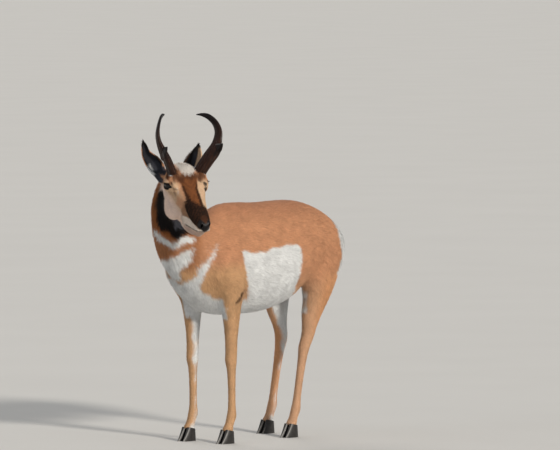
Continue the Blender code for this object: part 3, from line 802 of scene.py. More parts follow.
FLANK_TOP = ((-225, 701), (-190, 697), (-151, 689), (-110, 694), (-82, 703), (33, 716), (58, 712), (74, 698))
FLANK_FORE = ((500, -150), (551, -169), (632, -212), (701, -225))
FLANK_AFT = ((500, 110), (579, 72), (618, 69), (672, 76), (701, 71))
RUMP_FRONT = ((600, 300), (633, 318), (660, 345), (714, 334), (770, 330), (815, 350))
SHOULDER_FRONT = ((497, -273), (539, -340), (572, -378), (616, -381), (662, -367), (697, -345), (723, -326),
                  (740, -318))
STRIPE_INNER = ((588, 8), (605, 45), (616, 68), (645, 79), (670, 94), (698, 101.5), (723, 103.5))
CRESCENT_LOW = ((-90, 748), (-83, 743), (-51, 723), (-42, 717), (-19, 730), (7, 751), (35, 785))
CRESCENT_HIGH = ((-90, 750), (-83, 757), (-78, 765), (-55, 745), (-41, 737), (-31, 748), (-12, 766), (9, 783),
                 (35, 805))
BIB_TOP = ((-85, 724), (-53, 701), (-15, 682), (10, 678), (50, 670))
BIB_SIDE = ((593, -6), (605, -13), (627, -30), (657, -57), (682, -72), (721, -83))
THROAT_LOW = ((-90, 800), (-78, 772), (-68, 759), (-56, 751), (-42, 756), (-34, 781), (-28, 810))
INSIDE_LEG = 1000 * STANCE - 16
BARE_BELLY = 455


def body_markings_and_painted_light(place):
    x, y, z = 1000 * place.T
    side = np.abs(y)
    folded = np.column_stack([x, side, z])
    axis_x, axis_y = neck_at(place)
    ahead = edge(-418 - x, 5)
    flank = edge(read(x, *FLANK_TOP) - z) * edge(x - read(z, *FLANK_FORE)) * edge(read(z, *FLANK_AFT) - x)
    belly = edge(530 - z, 8) * edge(x + 335, 10) * edge(190 - x, 10) * edge(100 - side, 6)
    chest = np.maximum(edge(side - read(z, *STRIPE_INNER)) * edge(728 - z), edge(588 - z))
    elbow = from_line(folded, (-182, 128, 552), (-236, 130, 522))
    fold = from_line(folded, (76, 150, 602), (106, 143, 530))
    bib = edge(read(y, *BIB_TOP) - z, 3) * edge(y - read(z, *BIB_SIDE), 3) * edge(55 - y, 3)
    crescent = edge(z - read(y, *CRESCENT_LOW), 3) * edge(read(y, *CRESCENT_HIGH) - z, 3)
    patch = edge(z - read(y, *THROAT_LOW), 3) * edge(-30 - y, 3) * edge(y + 85, 3)
    mane = edge(20 - np.abs(y - 1000 * axis_y), 6) * edge(x - 1000 * axis_x - 20) * edge(z - 800, 20)
    return paint(
        plain(place, TAN),
        (0.9 * smooth_step(z, 770, 870), BACK),
        (0.5 * smooth_step(620 - z, 0, 120), CREAM),
        # painted light: a lighter, yellower lower shoulder and thigh
        (0.85 * smooth_step(-x, 150, 200) * smooth_step(680 - z, 0, 60), SHOULDER_LIT),
        (0.85 * smooth_step(x, 180, 260) * smooth_step(640 - z, 0, 100), THIGH_LIT),
        (edge(INSIDE_LEG - side, 6) * edge(545 - z, 10), WHITE),
        (belly * edge(z - BARE_BELLY), WHITE),
        (flank * edge(z - BARE_BELLY), WHITE),
        (edge(x - read(z, *RUMP_FRONT)) * edge(815 - z) * edge(z - 590, 10), WHITE),
        (edge(read(z, *SHOULDER_FRONT) - x) * chest, WHITE),
        # painted shade in the crease behind the elbow and along the fold of the flank
        (0.9 * (1 - smooth_step(elbow, 5, 12)), CREASE_SHADE),
        (0.40 * (1 - smooth_step(fold, 2, 12)), BROWN),
        (0.60 * edge(-400 - x, 20) * edge(z - 640, 20), RUST),
        (ahead * bib, WHITE),
        (edge(-424 - x, 3) * crescent * edge(32 - y, 4), WHITE),
        # dark throat patch: dark hair with the head's painted shadow over it
        (ahead * patch * edge(860 - z), DARK),
        (0.85 * mane * smooth_step(-x, 240, 340), BROWN),
    )


def nose_pad(seen):
    """1 on the bare pad round the nostrils, seen from the face."""
    ahead, side, up = folded_over(seen).T
    low = read(side, (0, -40), (10, -34), (20, -27))
    high = read(side, (0, -6), (10, 1), (18, 2), (24, -6))
    return edge(-181 - ahead, 3) * edge(up - low, 2) * edge(high - up, 2) * edge(25 - side, 2)


def blaze(seen, colour):
    """The rusty bridge of the nose between its two dark streaks, and the dark muzzle that they run into."""
    ahead, across, up = seen.T
    middle = read(ahead, (-200, 0), (-160, 1), (-110, 6), (-60, 10), (-20, 4), (10, 0))
    off = np.abs(across - middle)
    left = across < middle
    reach = np.where(left, read(ahead, (-137, 11), (-120, 14), (-96, 16), (-71, 18.5), (-40, 22), (-15, 28)),
                     read(ahead, (-85, 22.5), (-60, 23.5), (-30, 30), (-10, 40)))
    between_brows = edge(-8 - ahead, 6) * edge(up + 10, 10)
    sides = 1 - smooth_step(off - reach, 3, np.where(left, 7, 24))
    cheeks = edge(-50 - ahead, 6) * edge(ahead + 104, 8) * edge(up + 22) * edge(14 - up)
    lines = np.sin(off * 0.9 + 4 * np.sin(ahead * 0.07)) * np.sin(off * 0.52 + ahead * 0.06)
    ragged = 1.3 * np.sin(ahead * 0.62 + 3 * np.sin(off * 0.3)) + 0.8 * np.sin(ahead * 1.45)
    half = read(ahead, (-85, 6), (-60, 3.8), (-35, 2.2)) + ragged
    streak = edge(half - np.abs(off - reach), 2) * edge(-32 - ahead, 10) * edge(up + 4)
    low = read(ahead, (-205, -30), (-188, -27), (-168, -28), (-135, -25), (-118, -18), (-98, -4), (-85, 10),
               (-66, 26))
    start = read(across - middle, (-40, -132), (-20, -126), (-12, -128), (0, -124), (10, -114), (18, -96),
                 (26, -86), (34, -88), (45, -98))
    muzzle = edge(start - ahead + ragged * 3, 8) * edge(up - low, 3)
    patches = (np.sin(ahead * 0.13 + 3 * np.sin(off * 0.19)) * np.sin(off * 0.26 - 2 * np.sin(ahead * 0.21))
               + 0.5 * np.sin(ahead * 0.51 + off * 0.42))
    lips = edge(-86 - ahead, 10)
    lip_top = read(ahead, (-210, -30), (-168, -28), (-135, -26), (-118, -32), (-100, -40), (-85, -50))
    lip_line = edge(3 - np.abs(up - 1 - mouth_height(ahead)), 1) * edge(-108 - ahead)
    return paint(
        colour,
        (0.9 * between_brows * sides, TAN),
        (0.75 * cheeks * ~left, TAN),
        (between_brows * edge(reach + 2 - off), BRIDGE),
        (0.55 * between_brows * edge(reach - off) * edge(lines - 0.10, 0.3), BROWN),
        (0.85 * streak, DARK),
        (muzzle, DARK),
        (0.28 * muzzle * edge(patches - 0.25, 0.4), BROWN),
        (0.45 * edge(-170 - ahead, 6) * edge(up + 6, 3) * edge(13 - off), BROWN),
        (0.9 * lips * edge(low - up, 2), LIP_EDGE),
        (lips * edge(lip_top - up, 3), LIP),
        (0.75 * lip_line, LIP_LINE),
    )


def head_markings_and_painted_light(place):
    seen = 1000 * into(face(), place)
    across = seen[:, 1]
    folded = folded_over(seen)
    ahead, side, up = folded.T
    back, _, rise = 1000 * into(level(), place).T
    specks = np.sin(ahead * 1.3 + 3 * np.sin(up * 0.9)) * np.sin(up * 1.2 + 2 * np.sin(ahead * 0.7))
    colour = blaze(seen, paint(
        plain(place, CREAM),
        (1 - smooth_step(up - 0.25 * ahead, -40, 14), CHEEK),
        (0.30 * edge(specks - 0.35, 0.3) * edge(20 - up, 20), SPECKS),
        (edge(ahead + 16, 8) * edge(up - 34, 6), TAN),
        (edge(ahead - 50, 15) * edge(up + 10, 10), TAN),
    ))
    brow = edge(4 - ahead) * edge(ahead + 19 + 4 * np.sin(across * 0.17 + 2), 9) * edge(up - 36)
    collar = np.linalg.norm(folded - (32, 58, 52), axis=1)
    ragged = 3.5 * np.sin(across * 0.64 + 1.0) * np.sin(across * 0.27)
    tuft = edge(ahead - read(side, (0, -2), (17, 1), (30, 16), (40, 35)) + ragged, 3) * edge(82 - ahead, 8)
    tuft = tuft * edge(36 - side) * edge(25 - across) * edge(up - 30)
    colour = paint(
        colour,
        (0.85 * brow * edge(64 - side), BROW),
        (edge(32 - collar), BROWN),
        (tuft, CROWN),
    )
    for share, radius, soft, shade, on, line in (
        (0.8, 3.5, 2, BROWN, seen, ((80, 6, 60), (56, 1, 68), (60, -22, 66))),        # lock on the crown
        (1.0, 8.5, 2, WHITE, folded, ((8, 68, 67), (34, 92, 70))),                    # stripe by the horn
        # painted highlight on the brow over the eye
        (0.8, 6, 3, CREAM, folded, ((0, 78, 38), (30, 84, 34))),                      # over the eye
        (0.75, 7, 3, BROWN, folded, ((36, 40, 62), (0, 46, 60), (-22, 33, 54))),      # brow
        # painted shade in the fold before the upper lid
        (0.85, 4, 2, CREASE_SHADE, folded, ((-14, 72, 46), (-28, 63, 36))),                 # fold before the lid
        (0.6, 3, 2, BROWN, folded, ((-26, 66, 40), (-40, 56, 8))),                    # tear line
        (0.8, 3.6, 2, TEAR, folded, ((-38, 57, 38), (-48, 50, 20))),                  # pale spot before it
    ):
        colour = paint(colour, (share * edge(radius - from_line(on, *line), soft), shade))
    behind = edge(back - read(rise, (-120, 66), (-30, 56), (0, 60)))
    colour = paint(
        colour,
        (edge(-98 - ahead, 8) * edge(mouth_height(ahead) - 2.5 - up, 1), CHIN),
        (behind * edge(-2 - rise, 6) * edge(side - 12), BLACK),
        # painted shade on the pale hair under the jaw
        (0.9 * edge(-52 - up - 0.30 * (ahead + 50)) * edge(24 - side) * edge(ahead + 100), GULLET_SHADE),
    )
    # each eye: a dark rim round the lids, widened by painted shade, with painted shade behind its back corner; on
    # the left eye, painted shade before it too
    for way in (-1, 1):
        out, at = eye_parts(place, way)
        near = edge(at[:, 2]) * edge(1000 * EYE + 7 - np.linalg.norm(at, axis=1), 1)
        outer = from_line(at, (-24, 0, 12), (-36, way * -4, 0))
        colour = paint(colour, (near * edge(1.45 - out, 0.08), BLACK), (near * edge(5.5 - outer, 2), BLACK))
        if way < 0:
            corner = from_line(seen, (-30, -55, 45), (-36, -57, 22))
            colour = paint(colour, (0.9 * edge(7.5 - corner, 3), BLACK))
    return paint(colour, (nose_pad(seen), BLACK))


def neck_sides(place, colour):
    """The black patch behind the jaw and the rusty band beside it, on the upper neck; the dark oval under the
    jaw, dark hair with the head's painted shadow over it; and painted shade on the pale hair under the throat.
    """
    back, across, rise = 1000 * into(level(), place).T
    side = np.abs(across)
    low = read(across, (-60, -162), (-37, -154), (9, -172), (38, -168), (55, -153), (65, -136), (80, -122))
    reach = edge(side - 18) * edge(rise - low, 3) * edge(12 - rise, 10) * edge(88 - side, 6)
    oval = read(across, (-50, -144), (-37, -150), (-13, -161), (9, -167), (30, -162), (46, -138))
    oval = edge(rise - oval, 3) * edge(50 - across) * edge(across + 50) * edge(94 - back)
    gullet_shade = edge(18 - across) * edge(across + 50, 6) * edge(rise + 132, 3) * edge(-88 - rise)
    return paint(
        colour,
        (reach * edge(back - 50) * edge(148 - back, 10), RUST),
        (reach * edge(back - 54) * edge(104 - back) * edge(rise + 140), BLACK),
        # dark oval under the jaw: dark hair with the head's painted shadow over it
        (oval * edge(-90 - rise), BLACK),
        # painted shade on the pale hair under the throat
        (gullet_shade * edge(88 - back), GULLET_SHADE),
    )


def wavering(place, size, pitch):
    """The places moved a little by slow waves, so that the edges of markings aren't ruled."""
    x, y, z = (place / pitch).T
    wave = np.column_stack([np.sin(y * 2.3 + 1.7 * np.sin(z * 1.9)), np.sin(z * 2.1 + 1.3 * np.sin(x * 2.7)),
                            np.sin(x * 2.4 + 1.9 * np.sin(y * 1.6))])
    fine = np.sin(place[:, ::-1] * 5.1 / pitch + 2 * wave)
    return place + size * (0.7 * wave + 0.4 * fine)


def ear_markings_and_painted_shade(place, side, colour):
    """Painted shade in the cup, a long white lock on its outer rim, and a tan back with a black tip."""
    up, around, on_ear, seen = ear_parts(place, side)
    outward = 1000 * seen[:, 1] * (1 if side == "right" else -1)
    lock = edge(outward - read(up, (0.10, 2), (0.42, 14)), 3) * edge(0.42 - up, 0.04)
    shade = paint(
        plain(place, TAN),
        # painted shade in the cup
        (edge(0.93 - around, 0.02), EAR_CUP_SHADE),
        (edge(1.10 - around, 0.05) * lock, WHITE),
        ((side == "left") * edge(outward - 3, 3) * edge(up - 0.42, 0.04), CREAM),
        (edge(up - 0.88 + 0.10 * (outward < 0), 0.03), BLACK),
        (0.9 * edge(-16 - outward, 3) * edge(up - 0.30, 0.05), BLACK),
    )
    return np.where(on_ear[:, None], shade, colour)


def markings(place):
    """The coat's colour at each place, with its painted light and shade."""
    loose = wavering(place, 0.0028, 0.028)
    colour = neck_sides(loose, body_markings_and_painted_light(loose))
    share = head_share(place)[:, None]
    colour = colour * (1 - share) + head_markings_and_painted_light(wavering(place, 0.0009, 0.009)) * share
    for side in EARS:
        colour = ear_markings_and_painted_shade(place, side, colour)
    seen = 1000 * into(face(), place)
    # painted shade at the front of the right ear's root, on the ear and the head beside it
    hollow = np.minimum(from_line(seen, (120, 70, 24), (70, 72, 0)), from_line(seen, (125, 73, 23), (79, 62, 28)))
    x, y, z = 1000 * place.T
    spine = on_tail(x, y) * edge(10 - np.abs(y)) * edge(z - 700, 10)
    return paint(colour, (edge(15 - hollow), EAR_ROOT_SHADE), (0.6 * spine, TAN))


def on_tail(x, y):
    return (x > 395) & (np.abs(y) < 30)


# The lie, length and density of the coat

def sided(place, x, y, z):
    """A direction whose sideways part points away from the middle."""
    way = np.sign(place[:, 1])
    return np.column_stack([np.broadcast_to(x, len(place)), way * y, np.broadcast_to(z, len(place))])


def lie(place, normal):
    """The way the hairs point, along the skin."""
    x, y, z = 1000 * place.T
    on_leg = np.maximum(edge(90 - np.abs(x + 250), 30), edge(x - 110, 40))
    turned = np.array(face())[:3, :3]
    seen = 1000 * into(face(), place)
    on_face = np.column_stack([np.ones(len(place)), 0.25 * np.sign(seen[:, 1]) * (np.abs(seen[:, 1]) > 15),
                               read(seen[:, 2], (-50, -0.45), (40, 0.10), (70, 0.45))])
    flow = sided(place, 1.0, 0.0, -0.12 - 0.35 * smooth_step(np.abs(y), 40, 140))
    for share, other in (
        (edge(x - 160, 60) * edge(740 - z, 60), sided(place, 0.62, 0.0, -0.80)),
        (edge(x - 335, 30), sided(place, 0.10, 0.45, -1.0)),
        (smooth_step(-x, 260, 370), sided(place, 0.80, 0.05, -0.60)),
        (smooth_step(-x, 300, 400) * smooth_step(720 - z, 0, 60), sided(place, 0.35, 0.10, -0.93)),
        (smooth_step(z, 760, 840) * smooth_step(-x, 340, 400), plain(place, (0.36, 0.26, -0.89))),
        (smooth_step(600 - z, 0, 110) * on_leg, sided(place, 0.10, 0.0, -1.0)),
        (head_share(place), on_face @ turned.T),
    ):
        flow = flow * (1 - share[:, None]) + other * share[:, None]
    for side in EARS:
        flow = np.where(ear_parts(place, side)[2][:, None], np.array(ear_frame(side))[:3, 2], flow)
    return unit(flow - normal * np.sum(flow * normal, axis=1)[:, None])


def crown(place):
    """1 on the tufted patch between the horns."""
    ahead, side, up = folded_over(1000 * into(face(), place)).T
    return edge(ahead + 4) * edge(80 - ahead, 8) * edge(40 - side) * edge(up - 30)


def nape_line(place):
    """1 along the dark mane, down the back of the neck."""
    axis_x, axis_y = neck_at(place)
    x, y, z = 1000 * place.T
    line = edge(20 - np.abs(y - 1000 * axis_y), 8) * edge(x - 1000 * axis_x - 20, 10) * edge(z - 790, 30)
    return line * (1 - head_share(place)) * smooth_step(-x, 240, 340)


def hair_length(place):
    x, y, z = 1000 * place.T
    long = read(z, (50, 0.007), (250, 0.008), (400, 0.011), (550, 0.017))
    long = long + 0.006 * edge(x - 335, 20) * edge(z - 580, 20)
    long = long + 0.005 * smooth_step(-x, 330, 400) * edge(z - 500, 20) + 0.026 * nape_line(place)
    long = np.where(on_tail(x, y), 0.014, long)
    seen = 1000 * into(face(), place)
    on_face = read(seen[:, 0], (-200, 0.0026), (-150, 0.0036), (-60, 0.0055), (30, 0.0090)) + 0.007 * crown(place)
    for way in (-1, 1):
        out, at = eye_parts(place, way)
        near = edge(1.9 - out, 0.4) * edge(at[:, 2])
        on_face = on_face * (1 - near) + 0.0028 * near
    long = long + (on_face - long) * head_share(place)
    for side in EARS:
        _, around, on_ear, _ = ear_parts(place, side)
        long = np.where(on_ear, np.where(around < 0.93, 0.011, 0.006), long)
    return long


def hair_width(long):
    return read(long, (0.003, 0.0008), (0.006, 0.0009), (0.011, 0.0011), (0.017, 0.0012), (0.030, 0.0018))


def bare(place):
    """True where no hair grows: eye rims, sockets, nostrils, nose pad and the edges of the lips."""
    seen = 1000 * into(face(), place)
    none = (np.abs(seen[:, 2] - mouth_height(seen[:, 0])) < 2) & (seen[:, 0] < -112)
    none |= nose_pad(seen) > 0.5
    none |= np.linalg.norm(folded_over(seen) - NOSTRIL, axis=1) < 11.5
    for way in (-1, 1):
        out, at = eye_parts(place, way)
        far = np.linalg.norm(at, axis=1) - 1000 * EYE
        none |= (out < 1.10) & (at[:, 2] > 0) & (far < 6)
        none |= far < 1.5
    return none & (head_share(place) > 0.5)


def cover(place):
    """How many tufts lie over one another: fewest down the legs."""
    return read(place[:, 2], (0.30, 2.2), (0.50, 3.8))


def scatter(skin):
    """Roots over the whole skin, closer where the hair is short, with the skin's normals there."""
    place, normal = places_of(skin), normals_of(skin)
    skin.data.calc_loop_triangles()
    corners = np.empty(len(skin.data.loop_triangles) * 3, int)
    skin.data.loop_triangles.foreach_get("vertices", corners)
    corners = corners.reshape(-1, 3)
    middle = place[corners].mean(axis=1)
    across = np.cross(place[corners[:, 1]] - place[corners[:, 0]], place[corners[:, 2]] - place[corners[:, 0]])
    area = np.linalg.norm(across, axis=1) / 2
    long = hair_length(middle)
    wanted = area * cover(middle) / (long * hair_width(long))
    count = np.floor(wanted + DRAW.random(len(wanted))).astype(int)
    chosen = np.repeat(np.arange(len(corners)), count)
    a, b = np.sqrt(DRAW.random(len(chosen))), DRAW.random(len(chosen))
    shares = np.column_stack([1 - a, a * (1 - b), a * b])[:, :, None]
    root = (place[corners[chosen]] * shares).sum(axis=1)
    out = unit((normal[corners[chosen]] * shares).sum(axis=1))
    keep = ~bare(root)
    return root[keep], out[keep]


def regions(place):
    """Which piece of coat each root belongs to."""
    name = np.full(len(place), "trunk", dtype=object)
    name[place[:, 2] < 0.50] = "legs"
    name[(place - np.array((-0.34, 0, 0.73))) @ np.array(axes(0, 34.7)[0]) > 0] = "neck"
    name[head_share(place) > 0.5] = "head"
    for side in EARS:
        name[ear_parts(place, side)[2]] = "ears"
    return name


def above(place, normal):
    """The places at the tips of the coat over these roots, where the markings are read. The ears' stay put."""
    on_ear = np.any([ear_parts(place, side)[2] for side in EARS], axis=0)
    return place + normal * (coat_depth(place) * ~on_ear)[:, None]


def round_share(y, x):
    """The turn of a direction as a share of a full turn, 0 to 1."""
    return np.arctan2(y, x) / (2 * math.pi) + 0.5


def chart(name, place):
    """Where each root lies on an unrolled sheet of its region, from 0 to 1 both ways."""
    x, y, z = place.T
    if name == "trunk":
        reach = np.hypot(y, z - 0.68)
        end = np.maximum(0, np.abs(x) - 0.28)
        along = np.where(np.abs(x) < 0.28, x, np.sign(x) * (0.28 + 0.16 * np.arctan2(end, reach)))
        u, v = round_share(y, z - 0.68), (along + 0.55) / 1.1
    elif name == "legs":
        column = (x > 0).astype(int) * 2 + (y > 0)
        middle = np.array([[-0.25, -0.09], [-0.25, 0.09], [0.20, -0.09], [0.26, 0.09]])[column]
        u, v = (column + 0.04 + 0.92 * round_share(y - middle[:, 1], x - middle[:, 0])) / 4, z / 0.52
    elif name == "neck":
        axis_x, axis_y = neck_at(place)
        u, v = round_share(y - axis_y, x - axis_x), (z - 0.50) / 0.50
    elif name == "head":
        ahead, side, up = into(face(), place).T
        u, v = round_share(side, up + 0.03), (ahead + 0.22) / 0.36
    else:
        u, v = np.zeros(len(place)), np.zeros(len(place))
        for number, side in enumerate(EARS):
            up, around, on_ear, seen = ear_parts(place, side)
            column = number * 2 + (around > 0.93)
            u = np.where(on_ear, (column + 0.04 + 0.92 * round_share(seen[:, 1], seen[:, 0] + 0.02)) / 4, u)
            v = np.where(on_ear, up / 1.06, v)
    return np.column_stack([0.003 + 0.994 * np.clip(u, 0, 1), 0.003 + 0.994 * np.clip(v, 0, 1)])


def blades(name, root, normal, way, long, wide, lift, shade, sheet):
    """One mesh of flat, bent, tapered tufts of three triangles each."""
    count = len(root)
    across = np.cross(normal, way)
    roll = DRAW.normal(0, 0.30, count)[:, None]
    across = across * np.cos(roll) + normal * np.sin(roll)
    half = (wide / 2)[:, None] * across
    long, lift = long[:, None], lift[:, None]
    sway = (DRAW.normal(0, 0.10, count)[:, None]) * long * across
    low = root - normal * 0.0007
    middle = root + way * long * 0.50 + normal * lift * 0.66 + sway * 0.35
    tip = root + way * long + normal * lift + sway
    place = np.stack([low - half, low + half, middle - half * 0.85, middle + half * 0.85, tip], axis=1)
    faces = np.array([[0, 3, 1], [0, 2, 3], [2, 4, 3]])
    corners = (np.arange(count)[:, None, None] * 5 + faces).reshape(-1)
    mesh = bpy.data.meshes.new(name)
    mesh.vertices.add(count * 5)
    mesh.vertices.foreach_set("co", place.reshape(-1))
    mesh.loops.add(len(corners))
    mesh.loops.foreach_set("vertex_index", corners)
    mesh.polygons.add(count * 3)
    mesh.polygons.foreach_set("loop_start", np.arange(0, len(corners), 3))
    mesh.polygons.foreach_set("use_smooth", np.ones(count * 3, bool))
    mesh.update()
    spread = np.array([[-1, -1], [1, -1], [-1, 0], [1, 0], [0, 1]]) * PATCH
    flat = (sheet[:, None, :] + spread).reshape(-1, 2)
    mesh.uv_layers.new(name="OFBake").data.foreach_set("uv", flat[corners].ravel())
    strand = np.array([[0, 0], [1, 0], [0.08, 0.5], [0.92, 0.5], [0.5, 1]])
    strand = (strand + DRAW.random((count, 1, 2)) * (40, 0)).reshape(-1, 2)
    mesh.uv_layers.new(name="strand").data.foreach_set("uv", strand[corners].ravel())
    leaning = normal + across * DRAW.normal(0, 0.20, (count, 1)) + way * DRAW.normal(0.05, 0.12, (count, 1))
    shown = mesh.attributes.new("custom_normal", "FLOAT_VECTOR", "POINT")
    shown.data.foreach_set("vector", np.repeat(unit(leaning), 5, axis=0).ravel())
    tone = np.array([0.90, 0.90, 0.99, 0.99, 1.06])[None, :, None]
    return coloured(new_object(name, mesh), (shade[:, None, :] * tone).reshape(-1, 3))


def coat(skin):
    """All the tufts, in pieces of each region."""
    root, normal = scatter(skin)
    count = len(root)
    way = lie(root, normal)
    long = hair_length(root)
    region = regions(root)
    on_crown = crown(root)
    wide = hair_width(long) * DRAW.uniform(0.8, 1.2, count)
    lift = coat_depth(root) * DRAW.uniform(0.55, 1.15, count)
    lift = np.where(region == "ears", 0.0009 * DRAW.uniform(0.6, 1.3, count), lift)
    lift = lift + (0.006 * on_crown + 0.010 * nape_line(root)) * DRAW.uniform(0.3, 1.0, count)
    turn = DRAW.normal(0, 0.14, count)[:, None] * (1 + 2 * on_crown)[:, None]
    way = way * np.cos(turn) + np.cross(normal, way) * np.sin(turn)
    loose = np.where(region == "ears", 0, 0.08 * long + 0.0004)[:, None]
    blur = above(root, normal) + DRAW.normal(0, 1, (count, 3)) * loose
    shade = markings(blur) * DRAW.normal(1.0, 0.075, count).clip(0.75, 1.25)[:, None]
    long = long * DRAW.uniform(0.75, 1.15, count)
    made = []
    for name in ("trunk", "legs", "neck", "head", "ears"):
        own = np.where(region == name)[0]
        parts = max(1, math.ceil(len(own) * 3 / MOST_FACES))
        for number in range(parts):
            these = own[number::parts]
            rows = [values[these] for values in (root, normal, way, long, wide, lift, shade)]
            made.append(blades(f"coat_{name}_{number + 1}", *rows, chart(name, rows[0])))
    return made


def lashes(side, way):
    """Long dark hairs that stand out over the eye from the edge of the upper lid."""
    angle = np.radians(DRAW.uniform(12, 168, LASHES))
    across = EYE_SET + EYE_LONG / 2 * np.cos(angle)
    up = EYE_HIGH / 2 * np.sin(angle) ** 1.3 + 0.0008
    out = np.sqrt(np.maximum((EYE + 0.0022) ** 2 - across ** 2 - up ** 2, 0.007 ** 2))
    root = np.column_stack([across, way * up, out])
    lean = unit(np.column_stack([across * 14, way * (0.35 + DRAW.uniform(-0.15, 0.25, LASHES)), np.ones(LASHES)]))
    turned = np.array(face() @ eye_frame(way))
    root, lean = root @ turned[:3, :3].T + turned[:3, 3], lean @ turned[:3, :3].T
    normal = plain(root, turned[:3, 1] * way)
    normal = unit(normal - lean * np.sum(normal * lean, axis=1)[:, None])
    long = 0.0085 * DRAW.uniform(0.7, 1.15, LASHES)
    sheet = np.column_stack([(np.arange(LASHES) + 0.5) / LASHES, np.full(LASHES, 0.5)])
    return blades("lashes_" + side, root, normal, lean, long, np.full(LASHES, 0.0006), -0.25 * long,
                  plain(root, BLACK), sheet)


# Horns, hooves and eyes

HORN = sections(
    (8, -52, 40, 18.5, 24, 26, 12, 90),
    (-5, -62, 72, 18.5, 24, 27, 12, 90),
    (-20, -83, 110, 18, 25, 31, 12, 90),
    (-27, -105, 143, 16.5, 25, 34, 12, 90),
    (-25, -119, 176, 11, 21, 24, 12, 90),
    (-22, -123, 206, 8.5, 19, 21, 12, 90),
    (-14, -115, 235, 7, 16, 16, 12, 90),
    (-2, -97, 257, 6, 12, 12, 12, 90),
    (12, -78, 266, 4.5, 7, 7, 12, 90),
    (24, -58, 267, 1.5, 2, 2, 12, 90))
PRONG = sections(
    (-22, -104, 138, 10, 24, 28, 12, 10),
    (-54, -109, 147, 8, 17, 20, 12, 20),
    (-74, -111, 156, 5, 9, 12, 12, 30),
    (-86, -112, 165, 1.2, 2, 3, 12, 38))
LEFT_LEAN = (0, 0, 0, 1, 2, 3, 4, 4, 4, 4)
RIGHT_LEAN = (5, 6, 7, 9, 10, 10, 10, 7, 3, -3)


def leaning(rows, shifts, thin):
    """A horn's rows moved over towards the left and made thinner: no two horns are quite alike."""
    tip = 0.006 * (thin < 1)
    return [(row[0], row[1] - shift, row[2] + tip * smooth_step(row[2], 0.23, 0.26), row[3] * thin, *row[4:])
            for row, shift in zip(rows, metres(shifts))]


def horn(side, way):
    """One forked horn: rough and ridged below, smooth at its tip."""
    if way < 0:
        main, prong = leaning(HORN, LEFT_LEAN, 1.0), PRONG
    else:
        main, prong = leaning(mirrored(HORN), RIGHT_LEAN, 0.84), leaning(mirrored(PRONG), (6,) * 4, 0.9)
    pieces = [loft("horn", main, sides=40, steps=10, square=True), loft("prong", prong, sides=32, steps=8)]
    made = soften(fused("horn_sheath_" + side, pieces, HORN_VOXEL), 6)
    place, normal = places_of(made), normals_of(made)
    line = between(main, 10)[:, :3]
    far = np.concatenate([[0], np.cumsum(np.linalg.norm(np.diff(line, axis=0), axis=1))])
    nearest = np.argmin(((place[:, None, :] - line[None]) ** 2).sum(axis=2), axis=1)
    along = far[nearest] / far[-1]
    offset = place - line[nearest]
    around = np.arctan2(offset[:, 1] * way, offset[:, 0])
    ridge = 0.55 * np.sin(around * 17 + 3 * np.sin(along * 9)) + 0.45 * np.sin(around * 31 + along * 23)
    knobs = np.sin(along * 90 + 5 * np.sin(around * 4 + along * 7)) * np.sin(around * 7 + 3 * np.sin(along * 31))
    rough = 1 - smooth_step(along, 0.42, 0.68)
    push = 0.00060 * ridge * rough + 0.00040 * knobs * rough * (1 - smooth_step(along, 0.10, 0.40))
    flare = 0.0018 * np.exp(-(along / 0.10) ** 2)
    put_places(made, place + normal * (push + flare)[:, None])
    coloured(made, paint(
        plain(place, (0.030, 0.011, 0.006)),
        (smooth_step(along, 0.45, 0.85), BLACK),
        (0.6 * (1 - smooth_step(along, 0.02, 0.14)), (0.055, 0.024, 0.013)),
        (0.6 * edge(-ridge, 0.5) * rough, BLACK),
        (0.85 * smooth_step(-place[:, 0], 0.045, 0.065) * edge(1000 * place[:, 2] - 120), BLACK),
    ))
    grain = made.data.attributes.new("grain", "FLOAT_VECTOR", "POINT")
    grain.data.foreach_set("vector", np.column_stack([np.cos(around), np.sin(around), along * 3]).ravel())
    return placed(made, level())


def coloured(thing, shade):
    layer = thing.data.color_attributes.new(name="coat", type="FLOAT_COLOR", domain="POINT")
    layer.data.foreach_set("color", np.column_stack([shade, np.ones(len(shade))]).ravel())
    return thing


def hoof(name, leg):
    """Two pointed claws, joined at the heel."""
    x, y, _ = ankle_of(leg)
    claws = []
    for way in (-1, 1):
        rows = [section(x, y + way * out, up, wide, fore, aft, pitch=-90, top=sharp)
                for out, up, wide, fore, aft, sharp in (
                    (0.0118, 0.060, 0.0098, 0.014, 0.018, 1.0),
                    (0.0120, 0.045, 0.0106, 0.021, 0.020, 1.1),
                    (0.0122, 0.020, 0.0112, HOOF * 0.48, 0.022, 1.3),
                    (0.0122, 0.000, 0.0110, HOOF * 0.66, 0.024, 1.5))]
        claw = loft(f"claw_{way}", rows, sides=36, steps=8)
        place = places_of(claw)
        rings = 0.00022 * np.sin(place[:, 2] * 1100) * ((place[:, 2] > 0.004) & (place[:, 2] < 0.042))
        claws.append(put_places(claw, place + normals_of(claw) * rings[:, None]))
    made = combine(claws[0], claws[1], "UNION")
    made = combine(made, ball("heel", (x + 0.009, y, 0.024), (0.013, 0.009, 0.022), segments=24), "UNION")
    made.name = name
    return combine(made, coronet_cut(leg, 102), "DIFFERENCE")


def eye(side, way):
    """An eyeball with a slightly raised clear front, a dark iris and a long level pupil."""
    alone(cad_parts["eye_left"])
    bpy.ops.mesh.primitive_uv_sphere_add(segments=64, ring_count=48, radius=EYE)
    made = bpy.context.object
    made.name = "eyeball_" + side
    place = places_of(made)
    out = np.arccos(np.clip(place[:, 2] / EYE, -1, 1))
    put_places(made, place * (1 - 0.010 * smooth_step(out, 0.55, 0.75))[:, None])
    pupil = edge(1 - np.hypot(place[:, 0] / 0.0100, place[:, 1] / 0.0048), 0.12)
    coloured(made, paint(
        plain(place, (0.020, 0.012, 0.010)),
        (smooth_step(0.70 - out, 0.0, 0.05), (0.016, 0.007, 0.004)),
        (pupil * (place[:, 2] > 0), (0.002, 0.002, 0.003)),
    ))
    bpy.ops.object.shade_smooth()
    return placed(made, face() @ eye_frame(way))


# Finishes

